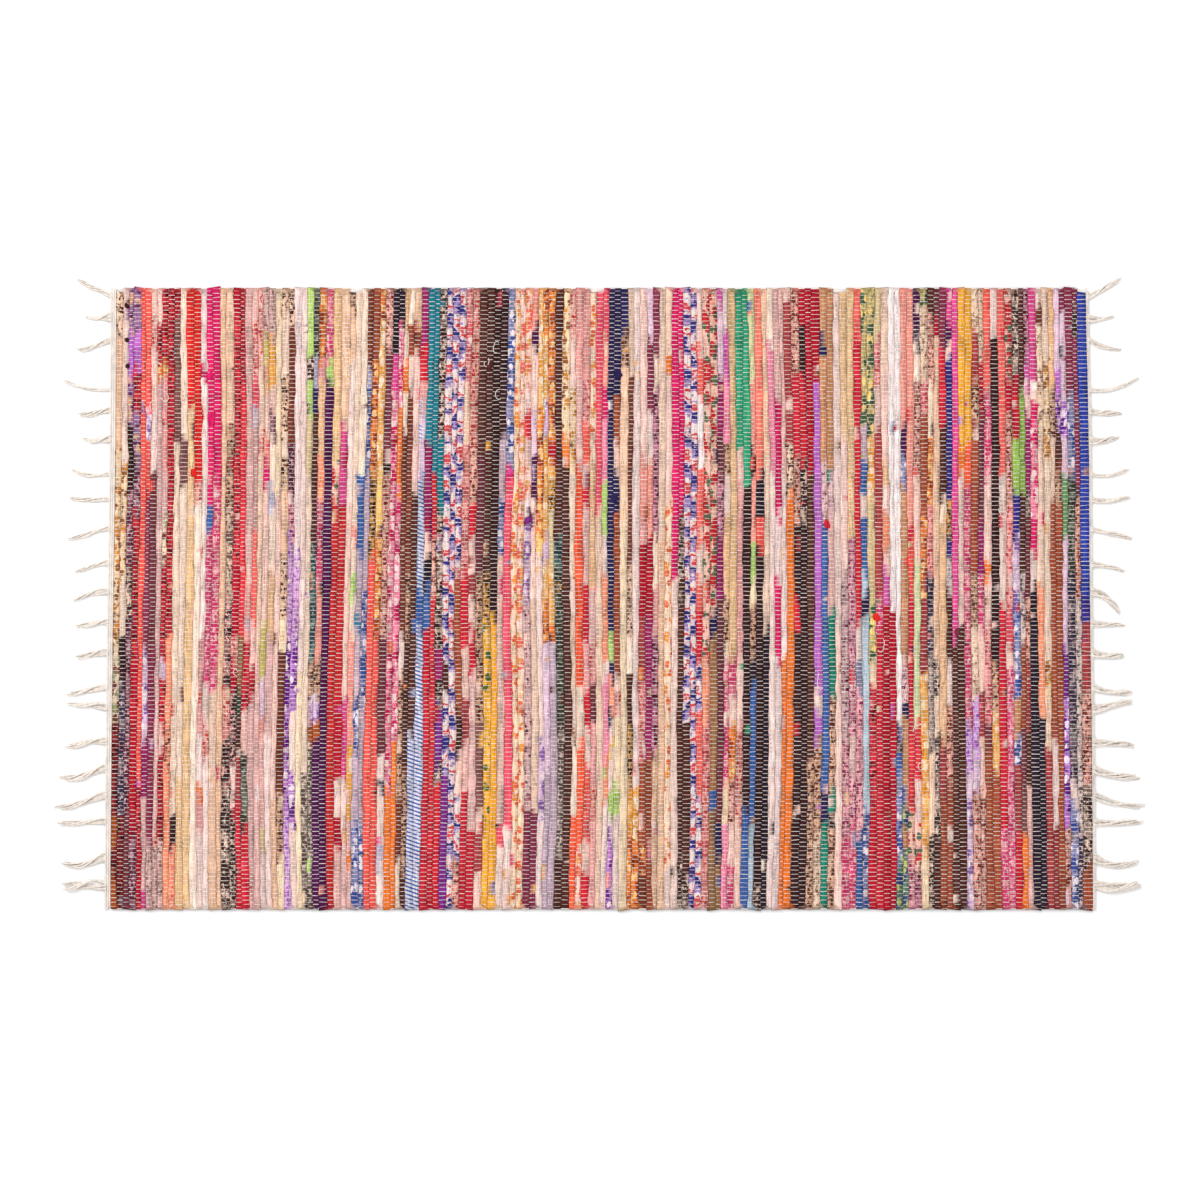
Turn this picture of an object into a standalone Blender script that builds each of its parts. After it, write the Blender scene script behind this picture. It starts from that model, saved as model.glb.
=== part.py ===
"""A hand-woven rag rug that lies flat, with cotton fringe at both ends.

Strips of rag cross the rug as plump ribs, and thin cotton warp runs along it.
At each end the last fine cotton picks form a narrow heading, from which the
warp ends hang out in loose twisted strands that rest on the floor.

Metres, +Z up. X runs along the warp, Y across it, and the underside is at Z = 0.
"""

import math
import random

import bmesh
import bpy
from mathutils import Vector

MM = 0.001

# The woven cloth
WIDTH = 0.700  # across the warp, between the two selvedges
RAG_LENGTH = 1.0965  # along the warp, from the first rag rib to the last
RIB_COUNT = 152
RIB_THICKNESS = 0.0050  # underside crest to upper crest
VALLEY_THICKNESS = 0.0018  # cloth left between two ribs
CREST_START, CREST_END = 0.27, 0.73  # where a rib's flat crest lies in its own width
PLUMPNESS = (0.80, 1.22)  # thinnest and fattest rib, against the mean
SLOW_RIPPLE = 0.50 * MM  # how far the hollow between two ribs wanders, in slow waves
QUICK_RIPPLE = 0.28 * MM  # and in quicker ones
SLOW_RATE, QUICK_RATE = 9.0, 21.0  # radians of those waves from one selvedge to the other
SELVEDGE_ROUND = 0.0022  # the rounded turn at each selvedge
TURN_DEPTH = 0.0011  # how far the hollow between two turns lies inside the selvedge
CROSS_STATIONS = 4  # full-height cross sections between the two selvedge turns
SEED = 11
WELD = 0.05 * MM  # points closer than this are one point

# The picks do not lie quite straight. Each row is one place along the rug, in millimetres:
# its X at mid width, then how far the pick there has shifted in X at the upper selvedge,
# a quarter down, at mid width, three quarters down, and at the lower selvedge.
SWAY_COLUMNS = ("x", "upper", "upper_quarter", "middle", "lower_quarter", "lower")
SWAY = (
    (-548.3, 3.4, 2.4, 0.0, -2.0, -3.2),
    (-440.0, 1.2, 2.2, 0.0, -3.6, -4.0),
    (-380.0, 1.5, 2.4, 0.0, -3.8, -1.8),
    (-325.0, 4.2, 2.6, 0.0, -4.0, -2.6),
    (-271.0, 8.6, 4.4, 0.0, -3.8, -4.4),
    (-217.0, 6.8, 2.8, 0.0, -2.4, -5.6),
    (-163.0, 5.6, 1.9, 0.0, 0.2, -4.0),
    (-109.0, 6.0, 3.0, 0.0, 1.4, -2.0),
    (-55.0, 0.8, 0.4, 0.0, 2.9, -0.9),
    (0.0, 1.8, 0.2, 0.0, 1.3, -1.6),
    (54.0, 1.8, 1.5, 0.0, -0.3, -0.5),
    (162.0, -2.6, 0.3, 0.0, -0.8, -3.8),
    (216.0, -4.2, -0.8, 0.0, -0.2, -4.6),
    (270.0, -1.9, -1.2, 0.0, 1.2, 0.5),
    (324.0, -2.6, -1.9, 0.0, 0.3, 0.8),
    (378.0, 0.2, 0.3, 0.0, 1.3, 1.4),
    (432.0, -0.9, 0.6, 0.0, 1.6, 4.0),
    (548.3, -4.6, -1.2, 0.0, 2.4, 3.6),
)

# The cotton heading and fringe at each end
HEADING_GAP = 0.3 * MM
HEADING_THICKNESS = 3.6 * MM
HEADING_VALLEY = 1.6 * MM
HEADING_PICKS = 2
LEFT_HEADING_WIDTH = 7.0 * MM
RIGHT_HEADING_WIDTH = 5.0 * MM
ROOT_INSET = 2.6 * MM  # how deep a strand starts inside the heading
ROOT_LIFT = 0.8 * MM  # the strand leaves the heading above the floor
DROP_LENGTH = 5.0 * MM  # and has come down to the floor this far out
STRAND_STEPS = 6
STRAND_SHOULDER = 0.62  # width of a strand's upper side, as a share of its lower side
STRAND_HEIGHTS = (2.0 * MM, 4.2 * MM)
STRAND_FLATNESS = 0.42  # height of a strand, as a share of its width

# One row for each strand, from the upper selvedge down, all in millimetres: where it leaves
# the heading below the upper selvedge, how far it reaches out, how far its middle and its
# tip have drifted down by then, and its width at root, middle and tip.
STRAND_COLUMNS = ("root", "reach", "mid_drift", "tip_drift", "root_width", "mid_width", "tip_width")
STRANDS = (
    (9.6, 38, -10.0, -19.7, 5.0, 6.5, 4.0),
    (33.8, 29, 0.5, -2.0, 12.5, 6.0, 3.5),
    (58.6, 38, 8.0, 11.0, 7.0, 7.5, 4.5),
    (114.3, 56, -1.0, -14.0, 4.5, 4.5, 3.0),
    (138.0, 36, 3.0, 4.5, 7.5, 7.0, 5.0),
    (171.0, 32, 0.3, -2.8, 10.0, 8.0, 3.5),
    (209.5, 43, 1.5, -5.6, 4.0, 4.8, 3.5),
    (238.0, 46, 1.0, -2.8, 6.5, 7.0, 4.5),
    (271.0, 46, 6.0, 12.4, 5.0, 5.5, 4.5),
    (310.0, 38, 4.0, 10.7, 8.0, 5.0, 4.0),
    (341.0, 40, 5.0, 11.3, 11.5, 8.5, 4.0),
    (377.0, 37, 1.5, 3.0, 9.5, 7.0, 4.0),
    (410.5, 37, 3.0, 4.5, 10.0, 9.5, 6.0),
    (449.0, 45, 5.5, 7.6, 9.5, 8.5, 6.5),
    (474.0, 44, -5.0, -7.4, 12.5, 9.0, 7.0),
    (511.0, 46, 1.5, 5.6, 10.0, 8.5, 7.5),
    (541.0, 52, 8.5, 10.5, 10.5, 9.5, 7.5),
    (571.0, 58, 10.0, 13.5, 10.5, 9.0, 6.5),
    (601.0, 56, 1.2, 1.0, 8.5, 7.5, 6.0),
    (641.0, 51, 9.0, 4.5, 11.5, 8.5, 6.0),
    (673.0, 53, 0.3, -0.5, 15.0, 16.0, 10.0),
)
# The right end mirrors the left one, but for this strand, which curls down in a hook.
RIGHT_CHANGES = {10: {"reach": 32, "mid_drift": 7.0, "tip_drift": 29.0, "mid_width": 10.0}}

RAG_COLOUR = (0.42, 0.17, 0.13)
COTTON_COLOUR = (0.78, 0.70, 0.58)


def clear_scene():
    for obj in list(bpy.data.objects):
        bpy.data.objects.remove(obj, do_unlink=True)


def new_collection(name):
    collection = bpy.data.collections.new(name)
    bpy.context.scene.collection.children.link(collection)
    return collection


def make_material(name, colour, roughness):
    material = bpy.data.materials.new(name)
    material.use_nodes = True
    shader = material.node_tree.nodes["Principled BSDF"]
    shader.inputs["Base Color"].default_value = (*colour, 1.0)
    shader.inputs["Roughness"].default_value = roughness
    shader.inputs["Metallic"].default_value = 0.0
    return material


def through_three(values, t):
    """The parabola that takes the three values at t = 0, 0.5 and 1."""
    first, middle, last = values
    return (
        first * (1 - t) * (1 - 2 * t)
        + middle * 4 * t * (1 - t)
        + last * t * (2 * t - 1)
    )


def below_upper(y):
    """0 at the upper selvedge and 1 at the lower one."""
    return 0.5 - y / WIDTH


def smooth_through(values, t):
    """A smooth curve through evenly spaced values, with t from 0 at the first to 1 at the last."""
    last = len(values) - 1
    i = min(int(t * last), last - 1)
    u = t * last - i
    before, here, there, after = (values[min(max(i + k, 0), last)] for k in (-1, 0, 1, 2))
    bend = 2 * before - 5 * here + 4 * there - after
    twist = 3 * here - before - 3 * there + after
    return here + 0.5 * (u * (there - before) + u * u * bend + u**3 * twist)


def sway(x, y):
    """How far the pick that lies at x at mid width has shifted in X at y."""
    t = min(max(below_upper(y), 0.0), 1.0)
    places = [row[0] * MM for row in SWAY]
    shifts = [smooth_through(row[1:], t) * MM for row in SWAY]
    for i in range(len(SWAY) - 1):
        if x <= places[i + 1] or i == len(SWAY) - 2:
            share = (x - places[i]) / (places[i + 1] - places[i])
            return shifts[i] + (shifts[i + 1] - shifts[i]) * min(max(share, 0.0), 1.0)


def left_edge(y):
    """X of the first rag rib's outer side."""
    return -RAG_LENGTH / 2 + sway(-RAG_LENGTH / 2, y)


def right_edge(y):
    """X of the last rag rib's outer side."""
    return RAG_LENGTH / 2 + sway(RAG_LENGTH / 2, y)


def rib_rhythm():
    """For each rib its first side at mid width, and the two phases of that side's ripple."""
    dice = random.Random(SEED)
    ribs = [
        (dice.uniform(*PLUMPNESS), dice.uniform(0, math.tau), dice.uniform(0, math.tau))
        for _ in range(RIB_COUNT)
    ]
    total, done, rhythm = sum(rib[0] for rib in ribs), 0.0, []
    for plumpness, slow, quick in ribs:
        rhythm.append((RAG_LENGTH * (done / total - 0.5), slow, quick))
        done += plumpness
    return rhythm


def rib_sides(y, rhythm):
    """X of every hollow between two ribs at y, from the left end to the right end."""
    v = y / WIDTH
    sides = [left_edge(y)]
    for x, slow, quick in rhythm[1:]:
        ripple = SLOW_RIPPLE * math.sin(SLOW_RATE * v + slow)
        ripple += QUICK_RIPPLE * math.sin(QUICK_RATE * v + quick)
        sides.append(x + sway(x, y) + ripple)
    sides.append(right_edge(y))
    return sides


def ribbed_half(name, sides_at, stations, rib_count, crest, valley, hollow_at_selvedge):
    """The upper half of a ribbed cloth, from its middle layer up, as an open surface.

    sides_at(y) gives the hollows beside its ribs. The rim lies in the middle layer.
    """
    columns = 3 * rib_count
    rows = len(stations) - 1
    mesh = bpy.data.meshes.new(name)
    bm = bmesh.new()
    bmesh.ops.create_grid(bm, x_segments=columns, y_segments=rows, size=0.5)
    hollows = [sides_at(y) for y in stations]
    for vert in bm.verts:
        column = round((vert.co.x + 0.5) * columns)
        row = round((vert.co.y + 0.5) * rows)
        rib, place = divmod(column, 3)
        y, sides = stations[row], hollows[row]
        if place == 0:
            x, z = sides[rib], valley / 2
        else:
            share = CREST_START if place == 1 else CREST_END
            x, z = sides[rib] + share * (sides[rib + 1] - sides[rib]), crest / 2
        if row in (0, rows):
            z = 0.0
            if place == 0 and 0 < rib < rib_count:
                y -= math.copysign(hollow_at_selvedge, y)
        if column in (0, columns):
            z = 0.0
        vert.co = (x, y, z)
    bm.to_mesh(mesh)
    bm.free()
    return mesh


def ribbed_cloth(name, material, collection, thickness, **shape):
    """A ribbed cloth whose underside mirrors its upper side and rests at Z = 0."""
    mesh = ribbed_half(name, crest=thickness, **shape)
    mesh.materials.append(material)
    cloth = bpy.data.objects.new(name, mesh)
    cloth.location.z = thickness / 2
    collection.objects.link(cloth)
    mirror = cloth.modifiers.new("Underside", "MIRROR")
    mirror.use_axis = (False, False, True)
    mirror.merge_threshold = WELD
    return cloth


def cross_stations(count):
    """Y of each cross section: the two selvedges and count full-height ones between."""
    inner = WIDTH / 2 - SELVEDGE_ROUND
    between = [inner * (2 * i / (count - 1) - 1) for i in range(count)]
    return [-WIDTH / 2, *between, WIDTH / 2]


def strand_profile(width, height):
    """A closed four-sided outline that stands on its lower side."""
    curve = bpy.data.curves.new("strand_profile", "CURVE")
    spline = curve.splines.new("POLY")
    shoulder = STRAND_SHOULDER * width / 2
    corners = ((-width / 2, 0), (width / 2, 0), (shoulder, height), (-shoulder, height))
    spline.points.add(len(corners) - 1)
    for point, (x, y) in zip(spline.points, corners):
        point.co = (x, y, 0, 1)
    spline.use_cyclic_u = True
    return bpy.data.objects.new("strand_profile", curve)


def strand_mesh(strand, edge_at, side):
    """One fringe strand, swept along the floor away from the heading."""
    widths = [strand[key] * MM for key in ("root_width", "mid_width", "tip_width")]
    low, high = STRAND_HEIGHTS
    widest = max(widths)
    profile = strand_profile(widest, min(high, max(low, STRAND_FLATNESS * widest)))
    root_y = WIDTH / 2 - strand["root"] * MM
    root_x = edge_at(root_y)
    reach = strand["reach"] * MM
    drifts = (0.0, strand["mid_drift"] * MM, strand["tip_drift"] * MM)
    path = bpy.data.curves.new("strand_path", "CURVE")
    path.dimensions = "3D"
    path.twist_mode = "Z_UP"
    path.bevel_mode = "OBJECT"
    path.bevel_object = profile
    path.use_fill_caps = True
    spline = path.splines.new("POLY")
    reaches = [-ROOT_INSET, DROP_LENGTH]
    reaches += [
        DROP_LENGTH + (reach - DROP_LENGTH) * i / (STRAND_STEPS - 2)
        for i in range(1, STRAND_STEPS - 1)
    ]
    spline.points.add(len(reaches) - 1)
    for point, out in zip(spline.points, reaches):
        t = max(out, 0.0) / reach
        lift = ROOT_LIFT if out < 0 else 0.0
        point.co = (root_x + side * out, root_y - through_three(drifts, t), lift, 1)
        point.radius = through_three(widths, t) / widest
    obj = bpy.data.objects.new("strand_path", path)
    bpy.context.scene.collection.objects.link(profile)
    bpy.context.scene.collection.objects.link(obj)
    bpy.context.view_layer.update()
    evaluated = obj.evaluated_get(bpy.context.evaluated_depsgraph_get())
    mesh = bpy.data.meshes.new_from_object(evaluated)
    bpy.data.objects.remove(obj)
    bpy.data.objects.remove(profile)
    return mesh


def strand_cutter(name, strands, edge_at, side, collection):
    """All strands of one end as a hidden mesh, ready to be joined to the heading."""
    bm = bmesh.new()
    for strand in strands:
        mesh = strand_mesh(strand, edge_at, side)
        bm.from_mesh(mesh)
        bpy.data.meshes.remove(mesh)
    bmesh.ops.remove_doubles(bm, verts=bm.verts, dist=WELD)
    bmesh.ops.recalc_face_normals(bm, faces=bm.faces)
    joined = bpy.data.meshes.new(name)
    bm.to_mesh(joined)
    bm.free()
    cutter = bpy.data.objects.new(name, joined)
    cutter.hide_render = True
    cutter.display_type = "WIRE"
    collection.objects.link(cutter)
    return cutter


def fringe_end(name, side, strands, material, parts, cutters):
    """One end's heading strip with its strands fused to it, a little off the rag cloth."""
    width = LEFT_HEADING_WIDTH if side < 0 else RIGHT_HEADING_WIDTH
    cloth_edge = left_edge if side < 0 else right_edge

    def outer_edge(y):
        return cloth_edge(y) + side * (HEADING_GAP + width)

    def sides_at(y):
        ends = sorted((cloth_edge(y) + side * HEADING_GAP, outer_edge(y)))
        return [
            ends[0] + (ends[1] - ends[0]) * i / HEADING_PICKS for i in range(HEADING_PICKS + 1)
        ]

    heading = ribbed_cloth(
        name,
        material,
        parts,
        HEADING_THICKNESS,
        sides_at=sides_at,
        stations=cross_stations(CROSS_STATIONS),
        rib_count=HEADING_PICKS,
        valley=HEADING_VALLEY,
        hollow_at_selvedge=0.0,
    )
    join = heading.modifiers.new("Strands", "BOOLEAN")
    join.operation = "UNION"
    join.object = strand_cutter(name + "_strands", strands, outer_edge, side, cutters)
    return heading


def stand_on_origin(root, parts):
    """Moves the whole rug so that the middle of its footprint is the origin."""
    bpy.context.view_layer.update()
    graph = bpy.context.evaluated_depsgraph_get()
    corners = []
    for obj in parts.objects:
        evaluated = obj.evaluated_get(graph)
        mesh = evaluated.to_mesh()
        corners += [evaluated.matrix_world @ vert.co for vert in mesh.vertices]
        evaluated.to_mesh_clear()
    low = Vector(min(c[i] for c in corners) for i in range(3))
    high = Vector(max(c[i] for c in corners) for i in range(3))
    root.location = (-(low.x + high.x) / 2, -(low.y + high.y) / 2, -low.z)


def build_rug():
    clear_scene()
    parts = new_collection("rag_rug")
    cutters = new_collection("helpers")
    rag = make_material("rag_weft", RAG_COLOUR, 0.92)
    cotton = make_material("cotton_warp", COTTON_COLOUR, 0.90)
    rhythm = rib_rhythm()
    left_rows = [dict(zip(STRAND_COLUMNS, row)) for row in STRANDS]
    right_rows = [{**row, **RIGHT_CHANGES.get(i, {})} for i, row in enumerate(left_rows)]

    ribbed_cloth(
        "cloth",
        rag,
        parts,
        RIB_THICKNESS,
        sides_at=lambda y: rib_sides(y, rhythm),
        stations=cross_stations(CROSS_STATIONS),
        rib_count=RIB_COUNT,
        valley=VALLEY_THICKNESS,
        hollow_at_selvedge=TURN_DEPTH,
    )
    fringe_end("fringe_left", -1, left_rows, cotton, parts, cutters)
    fringe_end("fringe_right", 1, right_rows, cotton, parts, cutters)

    root = bpy.data.objects.new("rug", None)
    bpy.context.scene.collection.objects.link(root)
    for obj in (*parts.objects, *cutters.objects):
        obj.parent = root
    stand_on_origin(root, parts)
    bpy.context.view_layer.update()


build_rug()
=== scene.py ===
# %% [markdown]
# # A flat-woven rag rug
#
# On the real rug, strips of cotton rag cross the cloth from selvedge to selvedge and fine
# ecru warp runs along it, over one rag and under the next. The last fine cotton picks form a
# heading at each end, and the warp ends hang out of it as a loose fringe.
#
# The CAD model gives the frame: its solids fix where each rib, heading and strand lies. Here
# the same layout is worked out again, and every rag is swept along its own wandering line. The
# detail lies where the solids are. Knots, loose threads, the turns of the rags at the
# selvedges and the thickest strands stand up to three millimetres proud of them.

import math
import random

import bpy
import numpy as np
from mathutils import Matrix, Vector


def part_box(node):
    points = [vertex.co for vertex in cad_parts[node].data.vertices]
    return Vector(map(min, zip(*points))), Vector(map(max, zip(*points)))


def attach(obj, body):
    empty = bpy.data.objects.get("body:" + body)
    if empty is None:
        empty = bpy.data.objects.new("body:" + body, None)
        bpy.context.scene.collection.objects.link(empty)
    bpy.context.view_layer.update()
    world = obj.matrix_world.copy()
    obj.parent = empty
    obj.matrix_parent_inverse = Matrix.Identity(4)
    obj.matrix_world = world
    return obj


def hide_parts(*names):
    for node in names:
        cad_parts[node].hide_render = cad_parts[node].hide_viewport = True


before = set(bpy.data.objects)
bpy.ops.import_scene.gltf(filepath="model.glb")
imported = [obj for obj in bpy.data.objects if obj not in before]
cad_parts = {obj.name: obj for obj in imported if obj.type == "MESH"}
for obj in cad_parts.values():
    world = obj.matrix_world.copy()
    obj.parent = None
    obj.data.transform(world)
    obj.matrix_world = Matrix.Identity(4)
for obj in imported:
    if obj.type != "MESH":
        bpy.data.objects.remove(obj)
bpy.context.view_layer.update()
MM = 0.001

# %% [markdown]
# ## Where the picks lie
#
# A weaver beats each rag against the last one by hand, so no rib is straight or even. The
# rug's layout is a table of how far the picks have swayed at a few places, a random width for
# each rib, and two sine ripples for each hollow between ribs. The same numbers and the same
# random seed shape the CAD solids.

# %% The layout of the ribs
WIDTH, RAG_LENGTH, RIB_COUNT = 0.700, 1.0965, 152
PLUMPNESS = (0.80, 1.22)
SLOW_RIPPLE, QUICK_RIPPLE = 0.50 * MM, 0.28 * MM
SLOW_RATE, QUICK_RATE = 9.0, 21.0
SEED = 11
# X at mid width, then the shift at the upper selvedge, a quarter down, half, three quarters
# and at the lower selvedge, all in millimetres.
SWAY = np.array([
    (-548.3, 3.4, 2.4, 0.0, -2.0, -3.2),
    (-440.0, 1.2, 2.2, 0.0, -3.6, -4.0),
    (-380.0, 1.5, 2.4, 0.0, -3.8, -1.8),
    (-325.0, 4.2, 2.6, 0.0, -4.0, -2.6),
    (-271.0, 8.6, 4.4, 0.0, -3.8, -4.4),
    (-217.0, 6.8, 2.8, 0.0, -2.4, -5.6),
    (-163.0, 5.6, 1.9, 0.0, 0.2, -4.0),
    (-109.0, 6.0, 3.0, 0.0, 1.4, -2.0),
    (-55.0, 0.8, 0.4, 0.0, 2.9, -0.9),
    (0.0, 1.8, 0.2, 0.0, 1.3, -1.6),
    (54.0, 1.8, 1.5, 0.0, -0.3, -0.5),
    (162.0, -2.6, 0.3, 0.0, -0.8, -3.8),
    (216.0, -4.2, -0.8, 0.0, -0.2, -4.6),
    (270.0, -1.9, -1.2, 0.0, 1.2, 0.5),
    (324.0, -2.6, -1.9, 0.0, 0.3, 0.8),
    (378.0, 0.2, 0.3, 0.0, 1.3, 1.4),
    (432.0, -0.9, 0.6, 0.0, 1.6, 4.0),
    (548.3, -4.6, -1.2, 0.0, 2.4, 3.6),
]) * MM


def smooth_through(values, t):
    """Smooth curves through the evenly spaced values of each row, at the places t from 0 to 1."""
    last = values.shape[1] - 1
    i = np.minimum((t * last).astype(int), last - 1)
    u = t * last - i
    before, here, there, after = (values[:, np.clip(i + k, 0, last)] for k in (-1, 0, 1, 2))
    bend = 2 * before - 5 * here + 4 * there - after
    twist = 3 * here - before - 3 * there + after
    return here + 0.5 * (u * (there - before) + u * u * bend + u**3 * twist)


def rib_sides(y):
    """X of all hollows between ribs, one row for each hollow and one column for each y."""
    dice = random.Random(SEED)
    ribs = [(dice.uniform(*PLUMPNESS), dice.uniform(0, math.tau), dice.uniform(0, math.tau))
            for _ in range(RIB_COUNT)]
    widths, slow, quick = np.array(ribs).T
    middle = RAG_LENGTH * (np.concatenate([[0], np.cumsum(widths)]) / widths.sum() - 0.5)
    shifts = smooth_through(SWAY[:, 1:], np.clip(0.5 - y / WIDTH, 0, 1))
    sides = [middle + np.interp(middle, SWAY[:, 0], shifts[:, j]) for j in range(len(y))]
    sides = np.array(sides).T
    v = y[None, :] / WIDTH
    sides[1:-1] += SLOW_RIPPLE * np.sin(SLOW_RATE * v + slow[1:, None])
    sides[1:-1] += QUICK_RIPPLE * np.sin(QUICK_RATE * v + quick[1:, None])
    return sides


# The layout's own origin, seen from the frame: the solids tell where the cloth lies. It
# reaches furthest left where its first rag meets the lower selvedge.
cloth_low, cloth_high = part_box("cloth")
SHIFT_X = cloth_low[0] - rib_sides(np.array([-WIDTH / 2]))[0, 0]
SHIFT_Y = (cloth_low[1] + cloth_high[1]) / 2
print(f"layout origin at {SHIFT_X / MM:.2f}, {SHIFT_Y / MM:.2f} mm")

WARP_ENDS = 290
WARP_PITCH = WIDTH / WARP_ENDS
WARP_Y = WIDTH / 2 - WARP_PITCH * (np.arange(WARP_ENDS) + 0.5)
SIDES = rib_sides(WARP_Y)
# The last rag at the right end bulges over its heading.
LAST_BULGE = 2.0 * MM
SIDES[-1] += LAST_BULGE
# Where the rag is thick or folded, it also pushes its neighbours aside over a short stretch:
# how far, and over how many warp ends, for long and for short lumps.
SHOVES = ((0.42 * MM, 6), (0.22 * MM, 2))
shove = np.random.default_rng(SEED).normal(0.0, 1.0, (2, RIB_COUNT - 1, WARP_ENDS))
for row, (size, spacing) in zip(shove, SHOVES):
    knots = np.arange(0, WARP_ENDS + spacing, spacing)
    for side, values in zip(SIDES[1:-1], row):
        side += size * np.interp(np.arange(WARP_ENDS), knots, values[:len(knots)])
print(f"{RIB_COUNT} ribs of {np.diff(SIDES, axis=0).min() / MM:.1f} "
      f"to {np.diff(SIDES, axis=0).max() / MM:.1f} mm, warp every {WARP_PITCH / MM:.2f} mm")

# %% [markdown]
# ## The rag bag
#
# A rag rug has no pattern: the weaver takes strips out of a bag as they come and lays in the
# next one where the last one ends. The bag is a table of fabrics. Each has a ground colour,
# and some have a print, with how much of the ground it covers and one or two inks.

# %% The fabrics in the bag
RAG_BAG = """
cream f1e1cb
ivory e8d6cc
white fbf7f5
whiterose edddd8
mauvewhite dbcfcb
pinkcream ecccbf
butter f1dfb8
beige e8d0b8
tan e2c09e
sand e1c28e
camel bf8d62
goldbeige dfb98a
goldyellow f4c96e
yellow f3b439
gold dfa445
orange ec7d2f
orangered ec5c38
coral e6574b
coralsalmon f5826c
salmon f89c76
salmonpink ea9a8a
salmonred e4655c
tomato da2a21
scarlet de3743
crimsonred c52536
crimson ab172b
tomatodark b82a2c
magenta d42069
hotpink d94a93
pink f08fae
rosered dc4f64
rose dd9f9b
mauve d3ada8
pinkmauve e1bab4
lilac dcc6dd
lilacgrey b8a9ba
lilacblue acb0cc
violet b56ad1
violetdark 702a8c
purple 42154b
orchid c455a5
magentaplum 8f2363
plum 80304e
plumblack 65323c
taupe 714c48
brown 6a3626
rosebrown 973c3e
rustbrown 984c30
rust a3531f
black 2a1c1c
blackbrown 472a22
navyblack 1c1d2a
navy 1e2353
indigo 2d2f8f
blue 2f62a9
royalblue 2142ac
paleblue a8cbdd
bluegrey 8794b6
cyanblue 1786b6
teal 0c7c8e
tealgreen 128770
emerald 1f9e73
green 5f9e65
limegreen 8fc556
lime abd972
limecream d5e4ab
olive b8b560
olivebrown 8e6d47
darkgreen 2e4c36
olivebeige cfc28f
brownspot e5c8a8 speck:.46 3d1f16
brownspeck cba686 speck:.50 4c2a1e
creamspeck ebd6b9 speck:.30 7d5d47
greyspeck cbc3bb speck:.38 4d4c52
greybrown d2bba4 speck:.55 5c463e
brownpink dcaa9a speck:.45 6c2c22
blackspeck 2c2322 speck:.38 d9c6b3
blackpink 2e2224 speck:.42 e2aba2
greyblack 4a4640 speck:.35 c9c1b1
blackgreen 28362c speck:.22 8ca292
tealblack 1c3c42 speck:.20 7db2aa
goldblack c99d50 speck:.50 2c1c16
maroonspeck 7d2426 speck:.45 2c1212
navyspeck 2c2e47 speck:.28 bbabab
redspeck dfac9f speck:.42 b23333
roseprint dd9c96 speck:.42 ab3d47
crimsonprint c4303b speck:.36 4c1116
salmonspeck f19c7b speck:.30 c24e33
salmonblack f19c7b speck:.42 32221e
mauveprint ccada7 speck:.30 6d4c4c
plumspeck 55223a speck:.35 c69ea9
plumprint 50233a speck:.34 c69ea9
plumpale d8b9b9 speck:.30 5d2343
plumpink c3839d speck:.46 4d1733
pinkplum e3a9b3 speck:.42 7d2252
magentarose cb3c70 speck:.36 edb8bc
violetpale d1ace2 speck:.36 8c4db3
purpleprint 8f6d9a floral:.42 c9a280 5c2c5c
lilacprint ccb5d2 floral:.45 7d5da2 e9dfe7
violetprint b37dd2 floral:.50 5c1d8c efe1f2
pinkfloral ec88a6 floral:.46 c3225e f6d9d9
coralfloral f3d2c2 floral:.45 ea6c52 dba25c
creamorange eed8bb floral:.34 e1953f db693d
redfloral eec3af floral:.52 c52b2f 4d6c4f
goldfloral efd9af floral:.36 cb8d3e 8c5d30
sagefloral e1d6b3 floral:.42 8c966a 6d3d30
goldprint e5b468 floral:.42 da9831 fbe5c4
orangeprint da803a floral:.48 8c3d20 f3c67b
blueprint 7d89b5 floral:.52 2c4d97 e1e3ee
greenfloral bab373 floral:.50 305c3f f2da7b
greenblue 4d7d6d floral:.50 224270 abc263
yellowgreen f3bb3b floral:.30 3d6d3f f6d27b
plaid ece2e6 plaid 2a2a6e d23c3c
bluecheck d5dff0 stripe:.55 3a66ab
bluestripe 3f6eb8 stripe:.40 cfdff2
"""
PRINTS = ("speck", "floral", "plaid", "stripe")
# Mixed rags are washed together, so blacks fade and a little red runs into every fabric.
RUN_DYE, RUN_SHARE = np.array([0.86, 0.22, 0.22]), 0.085


def to_linear(values):
    """Linear colour out of hex values on a scale from 0 to 1."""
    return np.where(values <= 0.04045, values / 12.92, ((values + 0.055) / 1.055) ** 2.4)


def hex_values(code):
    """Red, green and blue of a hex code, on a scale from 0 to 1."""
    return np.array([int(code[i:i + 2], 16) / 255 for i in (0, 2, 4)])


def linear(code):
    """The linear colour of a hex code."""
    return to_linear(hex_values(code))


def washed(code):
    """The hex code after washing, as a linear colour."""
    values = hex_values(code)
    return to_linear(values + RUN_SHARE * (RUN_DYE - values))


def read_fabric(words):
    """Ground, ink, accent, the four print weights and the cover of one line of the bag.

    That makes a row of 3 + 3 + 3 + 4 + 1 numbers.
    """
    ground = washed(words[1])
    weights, cover, inks = np.zeros(4), 0.5, [ground, ground]
    if len(words) > 2:
        print_name, _, share = words[2].partition(":")
        weights[PRINTS.index(print_name)] = 1.0
        cover = float(share or 0.5)
        inks = [washed(code) for code in (words[3:] + words[-1:])[:2]]
    return np.concatenate([ground, inks[0], inks[1], weights, [cover]])


# The length of such a row, and the part of it that holds the three colours.
FABRIC_NUMBERS, COLOUR_PART = 14, slice(0, 9)
FABRICS = {}
for line in RAG_BAG.strip().splitlines():
    FABRICS[line.split()[0]] = read_fabric(line.split())
print(len(FABRICS), "fabrics in the bag")

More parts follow.
